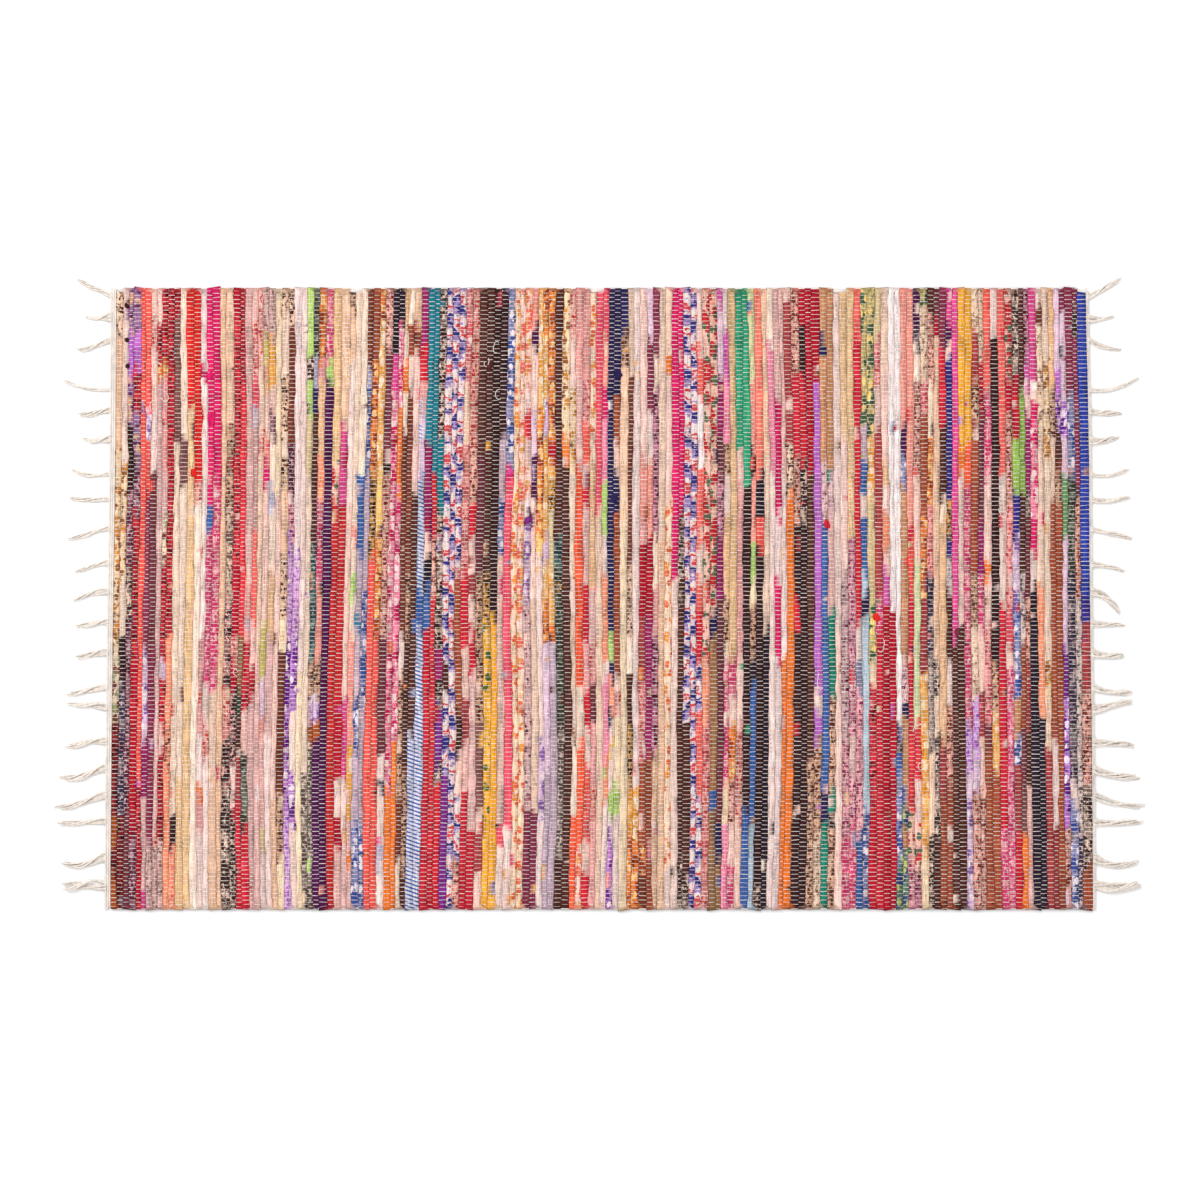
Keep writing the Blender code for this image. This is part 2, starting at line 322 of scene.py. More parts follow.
# %% [markdown]
# ## Which rag goes where
#
# One line for each rib, from the left end to the right. Each line is read from the upper
# selvedge down: a fabric, then the share of the width, in percent, at which it ends and the
# next one begins. A line that ends in a backslash goes on in the next one.

# %% The order of weaving
PICKS = """
brownspot 8 tan 25 goldfloral 57 sagefloral 70 maroonspeck 85 rust 90 maroonspeck 94 rust
ivory 28 goldfloral 47 cream 56 black 64 navyspeck 85 maroonspeck
purpleprint 7 violet 14 purpleprint 22 black 33 plumprint 45 blackspeck 53 plumprint 84 plumblack
purpleprint 7 violet 13 crimsonprint 20 purpleprint 28 plumprint 36 crimsonprint 60 crimson 88 plumprint
coral 80 crimsonprint 90 crimson
coral 20 lilacprint 24 coral 33 plum 58 lilacprint 73 magentaplum 82 mauve 97 hotpink
pinkcream 5 redspeck 10 pinkcream 20 ivory 30 plumblack 58 plum 89 mauveprint
pinkcream 6 crimsonprint 12 orangeprint 15 mauve 66 pinkmauve 88 redspeck 90 mauveprint
crimsonprint 12 orangeprint 14 rose 30 mauve 37 sagefloral 44 crimsonprint 60 lilac 63 \
crimsonprint 71 pinkcream 74 crimsonprint 89 mauveprint
crimsonprint 56 salmon 70 salmonblack 77 salmon
crimsonprint 5 taupe 25 cream 85 black 90 salmonspeck
cream 24 taupe 32 cream 79 sand
tomato 19 sand
tomato 31 redspeck 35 cream
whiterose 13 magenta 15 whiterose 56 rose 72 whiterose 80 orange 82 rose 87 whiterose
magenta 35 blue 39 magentarose 64 ivory 70 redspeck 76 ivory
magenta 31 magentarose 65 beige 78 tan
tan
tan 22 brownspeck 36 greybrown 50 blackpink 65 redspeck 72 blackpink 81 blackspeck
crimson 5 crimsonprint 45 crimson 56 redspeck 60 crimson 65 blackpink 77 pinkcream 84 blackspeck
crimsonprint 15 scarlet 56 olivebrown 65 darkgreen 69 blackbrown 75 rosebrown 83 crimsonred
mauve 45 ivory 47 rose 57 crimsonprint 68 pinkmauve 75 blackgreen 87 crimsonred
pinkmauve 5 redspeck 15 rosered 19 lilacgrey 22 mauve 39 salmonred 54 pinkmauve 61 crimsonprint 66 mauve
redspeck 12 beige 23 redspeck 27 beige 60 mauve
mauveprint 8 olive 12 goldbeige 17 pinkcream 24 salmonpink 28 magenta 32 pinkcream 54 olive 63 \
lilac 69 salmonpink 72 mauve 87 olivebeige 91 whiterose
mauveprint 8 gold 16 pinkcream 20 plumspeck 24 cream 32 lilacblue 36 cream 45 goldbeige 56 \
mauve 72 whiterose
butter 33 pinkcream 82 tan
brownspot 4 beige 14 brownspot 24 cream 27 brownspot 32 tan 43 brownspot 53 butter 58 brown 81 \
brownspeck 92 butter
brownspot 6 brown 25 plumprint 33 pinkplum 40 violetpale 54 violetprint 84 violetpale
whiterose 44 violetpale 56 violetprint 68 ivory 78 violetprint 87 ivory
whiterose 62 butter
lime 11 blackspeck 15 lime 20 olivebeige 30 cream 78 greyblack
blackgreen 11 lilacblue 16 navy 20 blackbrown 42 tealblack 60 brownspeck 66 lilacprint 70 \
rust 73 greyblack
orangeprint 12 rose 15 goldbeige 27 salmon 34 magentarose 48 salmonpink 60 brownspeck 66 \
lilacprint 70 rust 73 purple
magentarose 12 lime 15 purple
sand 28 redfloral 34 tomatodark
tan 22 hotpink 35 tomatodark 66 crimson 79 ivory 85 crimson 90 pinkmauve
brownspeck 4 tan 12 ivory 35 pinkcream 66 hotpink 79 ivory 86 pinkmauve
cream 38 salmonpink 41 cream 46 lime 50 cream 56 salmonpink 74 gold 86 mauve 91 orange 93 pinkmauve
cream 30 blue 43 lilacgrey 53 cyanblue 55 lilacgrey 66 blueprint 75 lilacgrey 86 blueprint
brown 13 lilacblue 16 blueprint 30 lilacgrey 49 blueprint 67 lilacgrey 86 blueprint
rustbrown 12 orangeprint 30 goldblack 43 coral
orangeprint 5 goldprint 30 goldyellow 40 orangeprint 56 coral
brownpink 10 plumblack 28 black 30 brownpink 56 plumblack 75 ivory 79 navyspeck 81 ivory 89 \
lilacblue 93 ivory
navyblack 11 hotpink 17 pinkfloral 24 crimson 25 pinkfloral 81 orange
navyblack 6 pinkfloral 19 orange 34 pinkfloral 73 orange
goldbeige 7 cream 12 orange 17 cream 23 brown 56 ivory 62 brownspeck 82 brown 92 cream
cream 6 rustbrown 11 ivory 17 brown 46 brownspeck 57 blackbrown 78 brownspeck 94 blackbrown
tan 6 rustbrown 10 pinkcream 33 blackbrown 72 bluecheck
magentaplum 9 crimsonred 15 rose 20 lilac 30 bluestripe 49 blue 55 bluecheck
teal 25 magentaplum 40 pinkcream 43 navyblack 48 blue 55 crimson 63 crimsonred
teal 30 crimsonred 40 brownpink 50 scarlet 85 crimsonred
blackspeck 24 teal 36 blackspeck 58 magentaplum 63 blackspeck 67 violetdark 77 blackspeck 80 crimsonred
plaid 60 blackbrown 65 plaid 78 violetdark
plaid
plaid 46 rustbrown 68 blackbrown 75 pinkcream 82 plaid 92 brownpink
roseprint 16 beige 25 roseprint 46 crimsonred 58 pinkcream 66 rosebrown 73 pinkmauve 81 crimsonred
redspeck 25 brownpink 35 crimsonred 40 pinkcream 46 rosebrown 50 pinkcream 54 crimsonred 62 \
pinkmauve 87 crimsonred
blackbrown 27 plumblack 46 brownspeck 70 taupe 84 pinkcream 87 rosebrown 94 pinkcream
blackbrown 46 goldblack 54 yellowgreen 88 yellow
black 53 yellow
black 24 lilacgrey 34 blueprint 43 pinkcream 86 rosered 90 ivory
blueprint 29 magenta 31 rosered 87 ivory
creamorange
coralfloral 62 creamorange
coralfloral 16 ivory 20 scarlet 24 pinkcream 28 coralfloral 34 whiterose 36 purple 38 \
lilacprint 50 plumpale 84 plum
salmonpink 6 purple 10 pinkcream 20 lilac 27 purple 34 pinkcream 50 beige 84 plum
goldprint 20 orangeprint 40 goldyellow 43 whiterose 72 lilacprint 86 whiterose
orangeprint 9 goldprint 18 lilacprint 24 goldprint 40 lilacprint 44 goldprint 50 orangeprint 57 \
lilac 78 lilacgrey
orangeprint 25 crimson 28 goldprint 31 goldblack 36 olivebeige 45 goldprint 54 orange 57 lilacgrey
blackbrown 40 tealblack 45 blackgreen 70 greyblack 92 blackbrown
goldfloral 24 orange 29 blackbrown
redspeck 8 pinkcream 16 goldfloral 30 cream 46 ivory 52 beige 66 ivory 71 brownspeck 73 cream 85 \
orangered
rose 14 mauve 29 orangered 64 cream 73 orangered 90 coralfloral
rose 14 roseprint 22 coral 28 mauve 32 crimsonred 35 mauve 48 crimsonred 57 rose 65 \
crimsonred 71 pinkcream 77 salmonred 89 pinkcream 94 crimsonred
creamorange 28 goldbeige 48 mauve 57 roseprint 64 plumblack 70 rose 80 redspeck 86 rose
rosered 36 beige
rosered 8 salmonpink 16 magenta 21 pink 31 lime 40 whiterose 46 salmon 60 ivory 63 pink 76 \
salmon 83 whiterose
navy 55 lime 60 navy 63 salmon 68 navy 70 ivory 73 goldyellow 76 ivory 81 lime 85 whiterose 88 \
violetprint
navy 17 rustbrown 25 pinkcream 30 navy 36 rustbrown 62 pinkcream 65 redspeck 69 butter 80 \
lime 85 whiterose
navy 7 brownspeck 13 tan 38 butter
beige 14 brown 45 brownspot 56 cream 62 blackbrown 71 goldblack 80 goldprint 88 orangeprint
mauvewhite 80 goldprint 88 orangeprint
pinkcream 27 salmonpink 37 rose 41 crimson 53 rosebrown 64 roseprint 76 rustbrown 90 \
orangeprint 94 brown
lilac 8 plum 20 whiterose 28 salmonpink 40 crimson 53 magentaplum 75 rustbrown
plum 11 cream 16 plumpink 40 cream 48 rose 56 plumpink 75 tan
beige 40 tan
beige 11 orange 14 pinkcream 34 creamorange 93 ivory
magenta 47 ivory
magenta 36 blackspeck 47 blackbrown 92 blackspeck
plaid 70 blackbrown 95 blackspeck
plaid
pinkcream 9 salmonred 18 whiterose 29 salmonred 42 ivory 47 salmonred 52 crimsonred 60 plaid 68 \
salmonred 82 plaid
redfloral 60 salmon 70 roseprint
redfloral 52 navy 56 olivebrown 81 blue 84 olivebrown
orchid 3 lilac 14 magentaplum 24 plumblack 30 plumpink 40 magentaplum 50 plumblack 86 navy 92 olivebrown
whiterose 7 orchid 15 pink 25 brownspeck 30 ivory 36 goldbeige 50 brownspeck 58 cream 60 \
magentarose 68 cream 70 magentarose 80 butter 86 pink
sand 60 magentarose 66 pinkcream 70 orangeprint 79 brownpink 86 pinkcream 93 magentarose
emerald 26 pinkcream 32 rose 60 pinkcream 70 redspeck 86 pinkcream
emerald 32 black 84 blue
limecream 15 salmonpink 26 black 30 salmonpink 41 lime 47 butter 51 brownspeck 60 navyblack 64 \
blue 86 paleblue
coralsalmon 30 navyblack 37 coral 42 black 96 blackspeck
tan 28 beige 55 navyblack
cream 9 pink 30 ivory 60 whiterose
mauve 18 magenta 36 whiterose 47 magenta 60 whiterose
mauve 30 ivory 53 whiterose 59 orange
pinkcream 2 rosebrown 18 pinkcream 20 rosebrown 25 brownspot 33 orange
brownpink 14 crimsonred 27 brownpink 38 black 50 crimsonred 55 black
crimson 6 black 14 crimsonred 27 blackspeck 38 black
crimson 30 blackbrown 76 brownspeck
crimson 15 violet 65 ivory 68 violet 73 brownspeck 88 creamspeck
camel 9 navy 11 camel 28 plumpale 38 blue 81 navy 86 tealgreen
camel 30 plumpale 36 mauve 52 tealgreen 66 brownspeck 81 tealgreen 84 blackspeck 87 brownspeck
ivory 55 pinkcream
sand 24 pinkcream 46 plumpale 73 pinkplum 88 magentarose
sand 40 pinkplum 72 pinkcream 78 pinkplum 86 magentarose
salmonred 8 crimsonred 54 whiterose 60 bluegrey 65 pinkplum 88 blue
greenfloral 22 lilacgrey 28 blue 33 ivory 37 blue 46 paleblue 49 navy 53 paleblue 84 blueprint
greenfloral 24 goldprint 34 olivebeige 50 greenfloral 60 butter 64 crimsonprint 84 crimson
olivebeige 8 roseprint 16 pinkcream 23 rosebrown 50 magentarose 55 crimsonred
beige 13 pinkcream 28 goldbeige 32 pinkcream 36 salmon 42 pinkcream 45 orchid 51 crimson
white 52 crimson
white 70 navyspeck 75 blue 78 bluegrey 81 blueprint 92 greenblue
salmonpink 22 purple 27 blueprint 32 camel 60 plumpale 67 navy 69 camel 83 greenblue 87 camel 90 \
greenblue
salmonpink 38 crimsonred 41 coral 50 crimsonred 69 scarlet 84 redfloral 92 pinkplum
purple 6 navyspeck 10 cream 15 brownpink 30 pinkcream 44 limecream 70 scarlet 79 pinkcream 86 \
redfloral 94 plumpink
greenfloral 3 creamspeck 15 roseprint 20 rustbrown 36 orangeprint 50 rosebrown 62 goldprint 92 butter
blackbrown 5 brownpink 16 cream 24 orangeprint 35 roseprint 46 navyspeck 59 greyspeck 75 \
beige 88 blackspeck
plumblack 5 crimson 8 tan 60 blackspeck 66 beige 72 blackspeck 89 blackbrown
plum 10 crimsonred 22 blackbrown 34 cream 37 goldbeige 73 rosebrown 82 rustbrown
hotpink 6 purple 9 pinkcream 11 indigo 34 goldblack 40 indigo 43 greyspeck 49 blackbrown 60 \
ivory 67 brownpink 80 rustbrown 87 ivory 89 rustbrown
hotpink 57 blackbrown
yellow 26 orange 30 pinkcream 54 blackbrown
yellow 25 orangered 32 magentarose 70 violetpale 78 lilac 82 lilacprint
creamspeck 7 rosebrown 15 brownspeck 24 rustbrown 46 brownspeck 54 creamspeck 66 violetpale 75 \
lilacprint 81 brownpink
creamspeck 12 crimsonprint 20 plumblack 38 magentaplum 46 magentarose 55 pinkcream 65 \
rosebrown 72 pinkcream 81 brownpink
coral 5 salmonred 16 magentarose 31 pinkcream 44 orange 47 pinkcream 54 roseprint 70 \
plumblack 73 rustbrown
ivory 8 black 61 brownspeck 68 goldprint 78 rustbrown
salmonred 30 ivory 51 crimsonred 87 magentarose
redfloral 15 crimson 20 brownpink 35 roseprint 52 rosered 58 pinkcream 61 magentarose
blackspeck 14 crimsonred 24 limegreen 33 indigo 40 lilacprint 50 blueprint 66 camel 72 \
blueprint 77 rosebrown 88 crimsonred
blackbrown 17 limegreen 33 blackbrown 46 greyspeck 57 rustbrown 71 plumblack 80 taupe 88 orange
plumpink 11 orchid 17 pinkcream 20 magentaplum 33 blackspeck 37 plumblack 50 brownpink 60 \
rosebrown 71 blackbrown 80 mauve
hotpink 15 whiterose 18 magenta 22 pinkfloral 37 magenta 43 ivory 48 navyblack
ivory 3 brown 6 creamspeck 24 beige 48 salmon 69 navyblack
beige 12 goldfloral 28 cream 60 goldfloral 67 beige 74 rosebrown
goldbeige 16 brownspeck 24 beige 34 rustbrown 73 ivory 87 rosebrown
lilac 13 violet 17 violetprint 22 blackbrown 30 brownspeck 35 rustbrown
plum 4 lilac 18 violetprint 24 lilac 30 green 40 lilac 58 violetdark 66 violetprint 87 brownpink
plum 17 blueprint 30 blackgreen 46 navyspeck 80 ivory 83 blueprint
plum 3 blackspeck 8 plum 33 brownpink 50 greyspeck 87 navyspeck
royalblue 50 indigo 54 rosebrown 65 brownpink 80 blackspeck 93 rustbrown
"""


def read_pick(line):
    """The fabrics of one rib, top to bottom, and the shares of the width where they meet."""
    words = line.split()
    return words[0::2], np.array([float(word) for word in words[1::2]]) / 100


PLAN = [read_pick(line) for line in PICKS.strip().splitlines()]
print(len(PLAN), "ribs planned,", sum(len(names) for names, _ in PLAN), "strips of rag")

# Where one rag overlaps the next, the rib is twice as thick, and it swells over its neighbours.
SWELLING, SWOLLEN_LENGTH = (-0.1 * MM, 0.75 * MM), 0.010
warp_share = 0.5 - WARP_Y / WIDTH
swell_dice = np.random.default_rng(SEED + 1)
for rib, (_, joins) in enumerate(PLAN[1:-1], 1):
    for join_share in joins:
        swollen = np.exp(-((warp_share - join_share) / SWOLLEN_LENGTH) ** 2)
        SIDES[rib] -= swell_dice.uniform(*SWELLING) * swollen
        SIDES[rib + 1] += swell_dice.uniform(*SWELLING) * swollen
print(f"with swollen joins, ribs of {np.diff(SIDES, axis=0).min() / MM:.1f} "
      f"to {np.diff(SIDES, axis=0).max() / MM:.1f} mm")

# %% [markdown]
# ## Building node trees in code
#
# Shader and Geometry Nodes trees share their Math nodes, so one small class serves both. It
# wraps an output socket, and arithmetic on it adds the Math nodes. Every other node comes
# from one method, which takes the node's type, its settings and the values of its sockets.

# %% A wrapped socket
class Wire:
    """An output socket of a node tree."""

    def __init__(self, tree, socket=None):
        self.tree, self.socket = tree, socket

    def add(self, kind, settings=None, inputs=None, output=0):
        """A new node. Settings are set first, then its inputs by name or number."""
        node = self.tree.nodes.new(kind)
        for name, value in (settings or {}).items():
            if name == "stops":
                set_stops(node.color_ramp, value)
            else:
                setattr(node, name, value)
        for name, value in (inputs or {}).items():
            if isinstance(value, Wire):
                self.tree.links.new(value.socket, node.inputs[name])
            else:
                node.inputs[name].default_value = value
        return Wire(self.tree, node.outputs[output]) if len(node.outputs) else node

    def out(self, name):
        """Another output of the same node."""
        return Wire(self.tree, self.socket.node.outputs[name])

    def math(self, operation, *values):
        return self.add("ShaderNodeMath", {"operation": operation}, dict(enumerate(values)))

    def vector(self, operation, other):
        return self.add("ShaderNodeVectorMath", {"operation": operation}, {0: self, 1: other})

    def axis(self, number):
        """X, Y or Z of this vector, by its number."""
        return self.add("ShaderNodeSeparateXYZ", None, {0: self}, output=number)

    def scaled(self, factor):
        """This vector times a number."""
        inputs = {0: self, "Scale": factor}
        return self.add("ShaderNodeVectorMath", {"operation": "SCALE"}, inputs)

    def grey(self):
        """The colour with this number in red, green and blue."""
        return self.add("ShaderNodeCombineColor", None, {0: self, 1: self, 2: self})

    def between(self, low, high):
        """0 below low, 1 above high and a smooth rise between them."""
        inputs = {"Value": self, "From Min": low, "From Max": high}
        return self.add("ShaderNodeMapRange", {"interpolation_type": "SMOOTHSTEP"}, inputs)

    def mix_to(self, factor, other):
        """This colour where factor is 0, and the other one where it is 1."""
        return self.add("ShaderNodeMix", {"data_type": "RGBA"},
                        {0: factor, 6: self, 7: other}, output=2)

    def __add__(self, other):
        return self.math("ADD", self, other)

    def __sub__(self, other):
        return self.math("SUBTRACT", self, other)

    def __mul__(self, other):
        return self.math("MULTIPLY", self, other)

    def __radd__(self, other):
        return self.math("ADD", other, self)

    def __rsub__(self, other):
        return self.math("SUBTRACT", other, self)

    def __rmul__(self, other):
        return self.math("MULTIPLY", other, self)


def vector_of(wire, x=0.0, y=0.0, z=0.0):
    """A vector of three numbers, each of them a wire or plain."""
    return wire.add("ShaderNodeCombineXYZ", None, {0: x, 1: y, 2: z})


def set_stops(ramp, stops):
    """Gives a colour ramp the stops (position, colour), with hard edges between them."""
    ramp.interpolation = "CONSTANT"
    while len(ramp.elements) < len(stops):
        ramp.elements.new(1.0)
    for element, (position, colour) in zip(ramp.elements, stops):
        element.position, element.color = position, (*colour, 1.0)


# %% [markdown]
# ## Rag fabric
#
# Each strip is thin cotton, folded and squeezed, so one rib shows lengthwise creases, a
# little mottling from wear and washing, and the fine weave of the fabric itself. The creases,
# fold lines and hollows between ribs also darken the colour: painted shade. The colours ride on
# the mesh as attributes, one set for each strip. The prints are procedural: they read Object
# coordinates, moved by a different amount for each rib, so that a flower never runs on from one
# rib to the next.

# %% Small shader helpers
def new_material(name):
    material = bpy.data.materials.new(name)
    material.use_nodes = True
    material.node_tree.nodes.clear()
    return material, Wire(material.node_tree)


def cotton_shader(wire, colour, roughness, relief, strength, depth):
    """Matt cotton with a fine relief, and a faint sheen from its loose fibres."""
    bump = wire.add("ShaderNodeBump", None, {
        "Strength": strength, "Distance": depth, "Height": relief})
    shader = wire.add("ShaderNodeBsdfPrincipled", None, {
        "Base Color": colour, "Roughness": roughness, "Normal": bump,
        "Sheen Weight": 0.01, "Sheen Roughness": 0.6, "Specular IOR Level": 0.06})
    wire.add("ShaderNodeOutputMaterial", None, {"Surface": shader})


def noise(place, scale, detail=2.0, roughness=0.5):
    return place.add("ShaderNodeTexNoise", None, {
        "Vector": place, "Scale": scale, "Detail": detail, "Roughness": roughness})


def attribute(wire, name, output="Color"):
    return wire.add("ShaderNodeAttribute", {"attribute_name": name}, output=output)


# %% The rag material
# How fine the prints are, as noise and cell counts for each metre, and the checks' and
# stripes' own lengths. STRIPE_LEAN is how far a stripe shifts along the rag across it.
SPECK_SCALE, PATCH_SCALE, FLOWER_SCALE, BUD_SCALE = 270.0, 95.0, 92.0, 128.0
CHECK_LENGTH, STRIPE_PITCH, STRIPE_LEAN = 34 * MM, 4.4 * MM, 0.35
WEAVE_SCALE, MOTTLE_SCALE = 1500.0, 170.0
# Creases and folds are noise that is drawn out along the rag: counts a metre in X, Y and Z.
CREASES, FOLDS = (700.0, 110.0, 700.0), (300.0, 17.0, 300.0)
# Each rib reads its print from a place of its own, this much further on than the last rib.
RIB_STEP, RIB_CHECK_STEP = (0.137, 0.071, 0.213), 0.0137
MID_HEIGHT = 2.5 * MM


def rag_material():
    material, wire = new_material("rag_cotton")
    here = wire.add("ShaderNodeTexCoord", output="Object")
    rib = attribute(wire, "rib", "Fac")
    place = here.vector("ADD", vector_of(wire, *(rib * step for step in RIB_STEP)))
    ground, ink, accent = (attribute(wire, "rag_" + name) for name in ("ground", "ink", "accent"))
    cover = attribute(wire, "rag_ground", "Alpha")
    speck = wire.add("ShaderNodeSeparateColor", None, {0: attribute(wire, "rag_print")})
    floral, plaid = speck.out("Green"), speck.out("Blue")
    stripe = attribute(wire, "rag_print", "Alpha")

    # Specks are the high spots of a fine noise, cut off at a height that gives the cover.
    drawn_out = place.vector("MULTIPLY", (1.0, 0.66, 1.0))
    specks = noise(drawn_out, SPECK_SCALE, 3.0, 0.65) + 0.30 * cover - 0.66
    marks = speck * specks.between(-0.02, 0.03)
    # Flowers are round cells with wavy rims, and smaller cells in the accent lie over them.
    cell = wire.add("ShaderNodeTexVoronoi", None, {"Vector": drawn_out, "Scale": FLOWER_SCALE})
    rim = cell + 0.9 * noise(drawn_out, 260.0, 3.0) - 0.45 - 0.95 * cover
    flowers = floral * (1.0 - rim.between(-0.04, 0.05))
    bud = wire.add("ShaderNodeTexVoronoi", None, {"Vector": drawn_out, "Scale": BUD_SCALE})
    bud = bud + 0.5 * noise(drawn_out, 360.0) - 0.25
    buds = floral * (1.0 - bud.between(0.33, 0.40))
    # Checks and stripes count along the rag: Y in the rug's own frame.
    along, across = here.axis(1), here.axis(0)
    turn = (along + rib * RIB_CHECK_STEP) * (1 / CHECK_LENGTH) + 1.3 * noise(place, 110.0, 3.0)
    check = wire.add("ShaderNodeValToRGB", {"stops": CHECK_STOPS}, {0: turn.math("FRACT", turn)})
    slant = (along + STRIPE_LEAN * across) * (1 / STRIPE_PITCH)
    stripes = stripe * (slant.math("FRACT", slant) - cover).between(-0.06, 0.06)
    # Specks crowd together in patches, where the whole print looks darker.
    patches = 0.35 * speck * noise(drawn_out, PATCH_SCALE).between(0.50, 0.62)
    colour = ground.mix_to(patches, accent).mix_to(marks, ink)
    colour = colour.mix_to(flowers, ink).mix_to(buds, accent)
    colour = colour.mix_to(plaid, check).mix_to(stripes, ink)

    # Creases and fold lines run along the rag and darken its colour: painted shade, besides their
    # bump. The mottling is broader and softer, a tone that changes at random.
    crease = noise(place.vector("MULTIPLY", CREASES), 1.0, 3.0, 0.6)
    mottle = noise(place, MOTTLE_SCALE, 2.0)
    folds = noise(place.vector("MULTIPLY", FOLDS), 1.0, 1.0) - 0.5
    lines = folds.math("ABSOLUTE", folds).between(0.0, 0.04)
    shade = (0.80 + 0.31 * crease.between(0.28, 0.60) + 0.32 * (mottle - 0.5)) * (
        0.60 + 0.40 * lines)
    # The hollows between ribs, at half the cloth's thickness, are darkened: painted shade.
    height = here.axis(2) - MID_HEIGHT
    shade = shade * (0.32 + 0.68 * height.math("ABSOLUTE", height).between(0.1 * MM, 1.4 * MM))
    colour = colour.vector("MULTIPLY", shade.grey())
    weave = noise(place, WEAVE_SCALE, 1.0)
    relief = crease * 0.8 + lines * 0.35 + weave * 0.12 + mottle * 0.4
    cotton_shader(wire, colour, 0.86 + 0.12 * mottle, relief, 0.7, 1.4 * MM)
    return material


# One turn of the wide check: indigo, pinkish white, red, white and lilac.
CHECK_STOPS = [(share, tuple(linear(code))) for share, code in (
    (0.0, "35307a"), (0.23, "dcbfc6"), (0.38, "d2474d"), (0.57, "ead3cf"), (0.80, "9c80b6"))]
RAG = rag_material()
print(len(RAG.node_tree.nodes), "nodes in the rag material")

# %% [markdown]
# ## Cotton yarn
#
# The warp, the heading and the fringe are one ecru cotton yarn of two plies. Its colour
# hardly changes, so what makes it yarn is the slanted ridge of its twist, in the bump and as
# painted shade that lightens the ridge and darkens its groove. The ridge follows the yarn by two
# numbers that its sweep leaves on the mesh: how far along, and how far round.

# %% The yarn material
def yarn_material(name, code, twist_rate):
    """Ecru cotton of that colour. twist_rate is in turns for each metre."""
    material, wire = new_material(name)
    place = wire.add("ShaderNodeTexCoord", output="Object")
    cloud = noise(place, 160.0, 3.0, 0.6)
    fibre = noise(place.vector("MULTIPLY", (700.0, 1900.0, 1900.0)), 1.0, 2.0)
    along, around = attribute(wire, "along", "Fac"), attribute(wire, "around", "Fac")
    ply = (along * twist_rate + around) * math.tau
    ridge = ply.math("SINE", ply) * 0.5 + 0.5
    # The twist's ridges are painted a little lighter and its grooves darker: painted shade.
    shade = 0.91 + 0.16 * cloud.between(0.25, 0.70) + 0.08 * (ridge - 0.5)
    shade = shade * attribute(wire, "shade", "Fac")
    colour = shade.grey().vector("MULTIPLY", tuple(linear(code)))
    relief = ridge * 0.6 + fibre * 0.4
    cotton_shader(wire, colour, 0.88 + 0.08 * cloud, relief, 0.5, 0.6 * MM)
    return material


WARP_YARN = yarn_material("warp_cotton", "fbf2ec", 260.0)
FRINGE_YARN = yarn_material("fringe_cotton", "e9dfd6", 160.0)
HEADING_YARN = yarn_material("heading_cotton", "e8dfd7", 300.0)

# %% [markdown]
# ## From guide lines to picks
#
# A rag goes to and fro: down one rib, round the outermost warp, and up the next one. So the
# guide for a panel of ribs is one winding line, with a point at every warp end. Where the
# warp passes over the rag it pinches it down, and where it passes under, the rag bulges up.
# Points carry their rib's own half width, and a Geometry Nodes tree sweeps a flattened
# profile along the line and crumples it a little.

# %% The tree that sweeps a pick
def new_tree(name, **sockets):
    """A geometry tree with the named inputs, its group input and the wire helper."""
    tree = bpy.data.node_groups.new(name, "GeometryNodeTree")
    tree.interface.new_socket("Geometry", in_out="INPUT", socket_type="NodeSocketGeometry")
    for socket, kind in sockets.items():
        tree.interface.new_socket(
            socket.replace("_", " "), in_out="INPUT", socket_type="NodeSocket" + kind)
    tree.interface.new_socket("Geometry", in_out="OUTPUT", socket_type="NodeSocketGeometry")
    wire = Wire(tree)
    return tree, wire, wire.add("NodeGroupInput")


def named(wire, name, kind="FLOAT"):
    return wire.add("GeometryNodeInputNamedAttribute", {"data_type": kind}, {"Name": name})


def end_tree(wire, shape, material):
    """Every tree ends the same way: smooth, real, and with its material."""
    shape = wire.add("GeometryNodeSetShadeSmooth", None, {"Geometry": shape})
    shape = wire.add("GeometryNodeRealizeInstances", None, {"Geometry": shape})
    shape = wire.add("GeometryNodeSetMaterial", None, {"Geometry": shape, "Material": material})
    wire.tree.nodes.new("NodeGroupOutput")
    wire.tree.links.new(shape.socket, wire.tree.nodes["Group Output"].inputs[0])


def pick_tree():
    tree, wire, given = new_tree(
        "sweep_pick", Profile_sides="Int", Crumple="Float", Crumple_scale="Float",
        Material="Material")
    line = wire.add("GeometryNodeMeshToCurve", None, {"Mesh": given})
    line = wire.add("GeometryNodeSetCurveNormal", {"mode": "Z_UP"}, {"Curve": line})
    ring = wire.add("GeometryNodeCurvePrimitiveCircle", None, {
        "Resolution": given.out("Profile sides"), "Radius": 1.0})
    # The warp presses the rag flat on top: the ring's upper and lower sides are made wider.
    round_x = wire.add("GeometryNodeInputPosition").axis(0)
    wider = round_x * (0.84 - 0.84 * round_x.math("ABSOLUTE", round_x))
    ring = wire.add("GeometryNodeSetPosition", None, {
        "Geometry": ring, "Offset": vector_of(wire, x=wider)})
    swept = wire.add("GeometryNodeCurveToMesh", None, {
        "Curve": line, "Profile Curve": ring, "Scale": named(wire, "half_width"),
        "Fill Caps": True})
    position = wire.add("GeometryNodeInputPosition")
    squeeze = (position.axis(2) - named(wire, "centre")) * (named(wire, "flat") - 1.0)
    lump = wire.add("ShaderNodeTexNoise", None, {
        "Vector": position, "Scale": given.out("Crumple scale"), "Detail": 2.0})
    lump = (lump - 0.5) * given.out("Crumple")
    offset = wire.add("GeometryNodeInputNormal").scaled(lump)
    offset = offset.vector("ADD", vector_of(wire, z=squeeze))
    swept = wire.add("GeometryNodeSetPosition", None, {"Geometry": swept, "Offset": offset})
    end_tree(wire, swept, given.out("Material"))
    return tree


PICK_TREE = pick_tree()


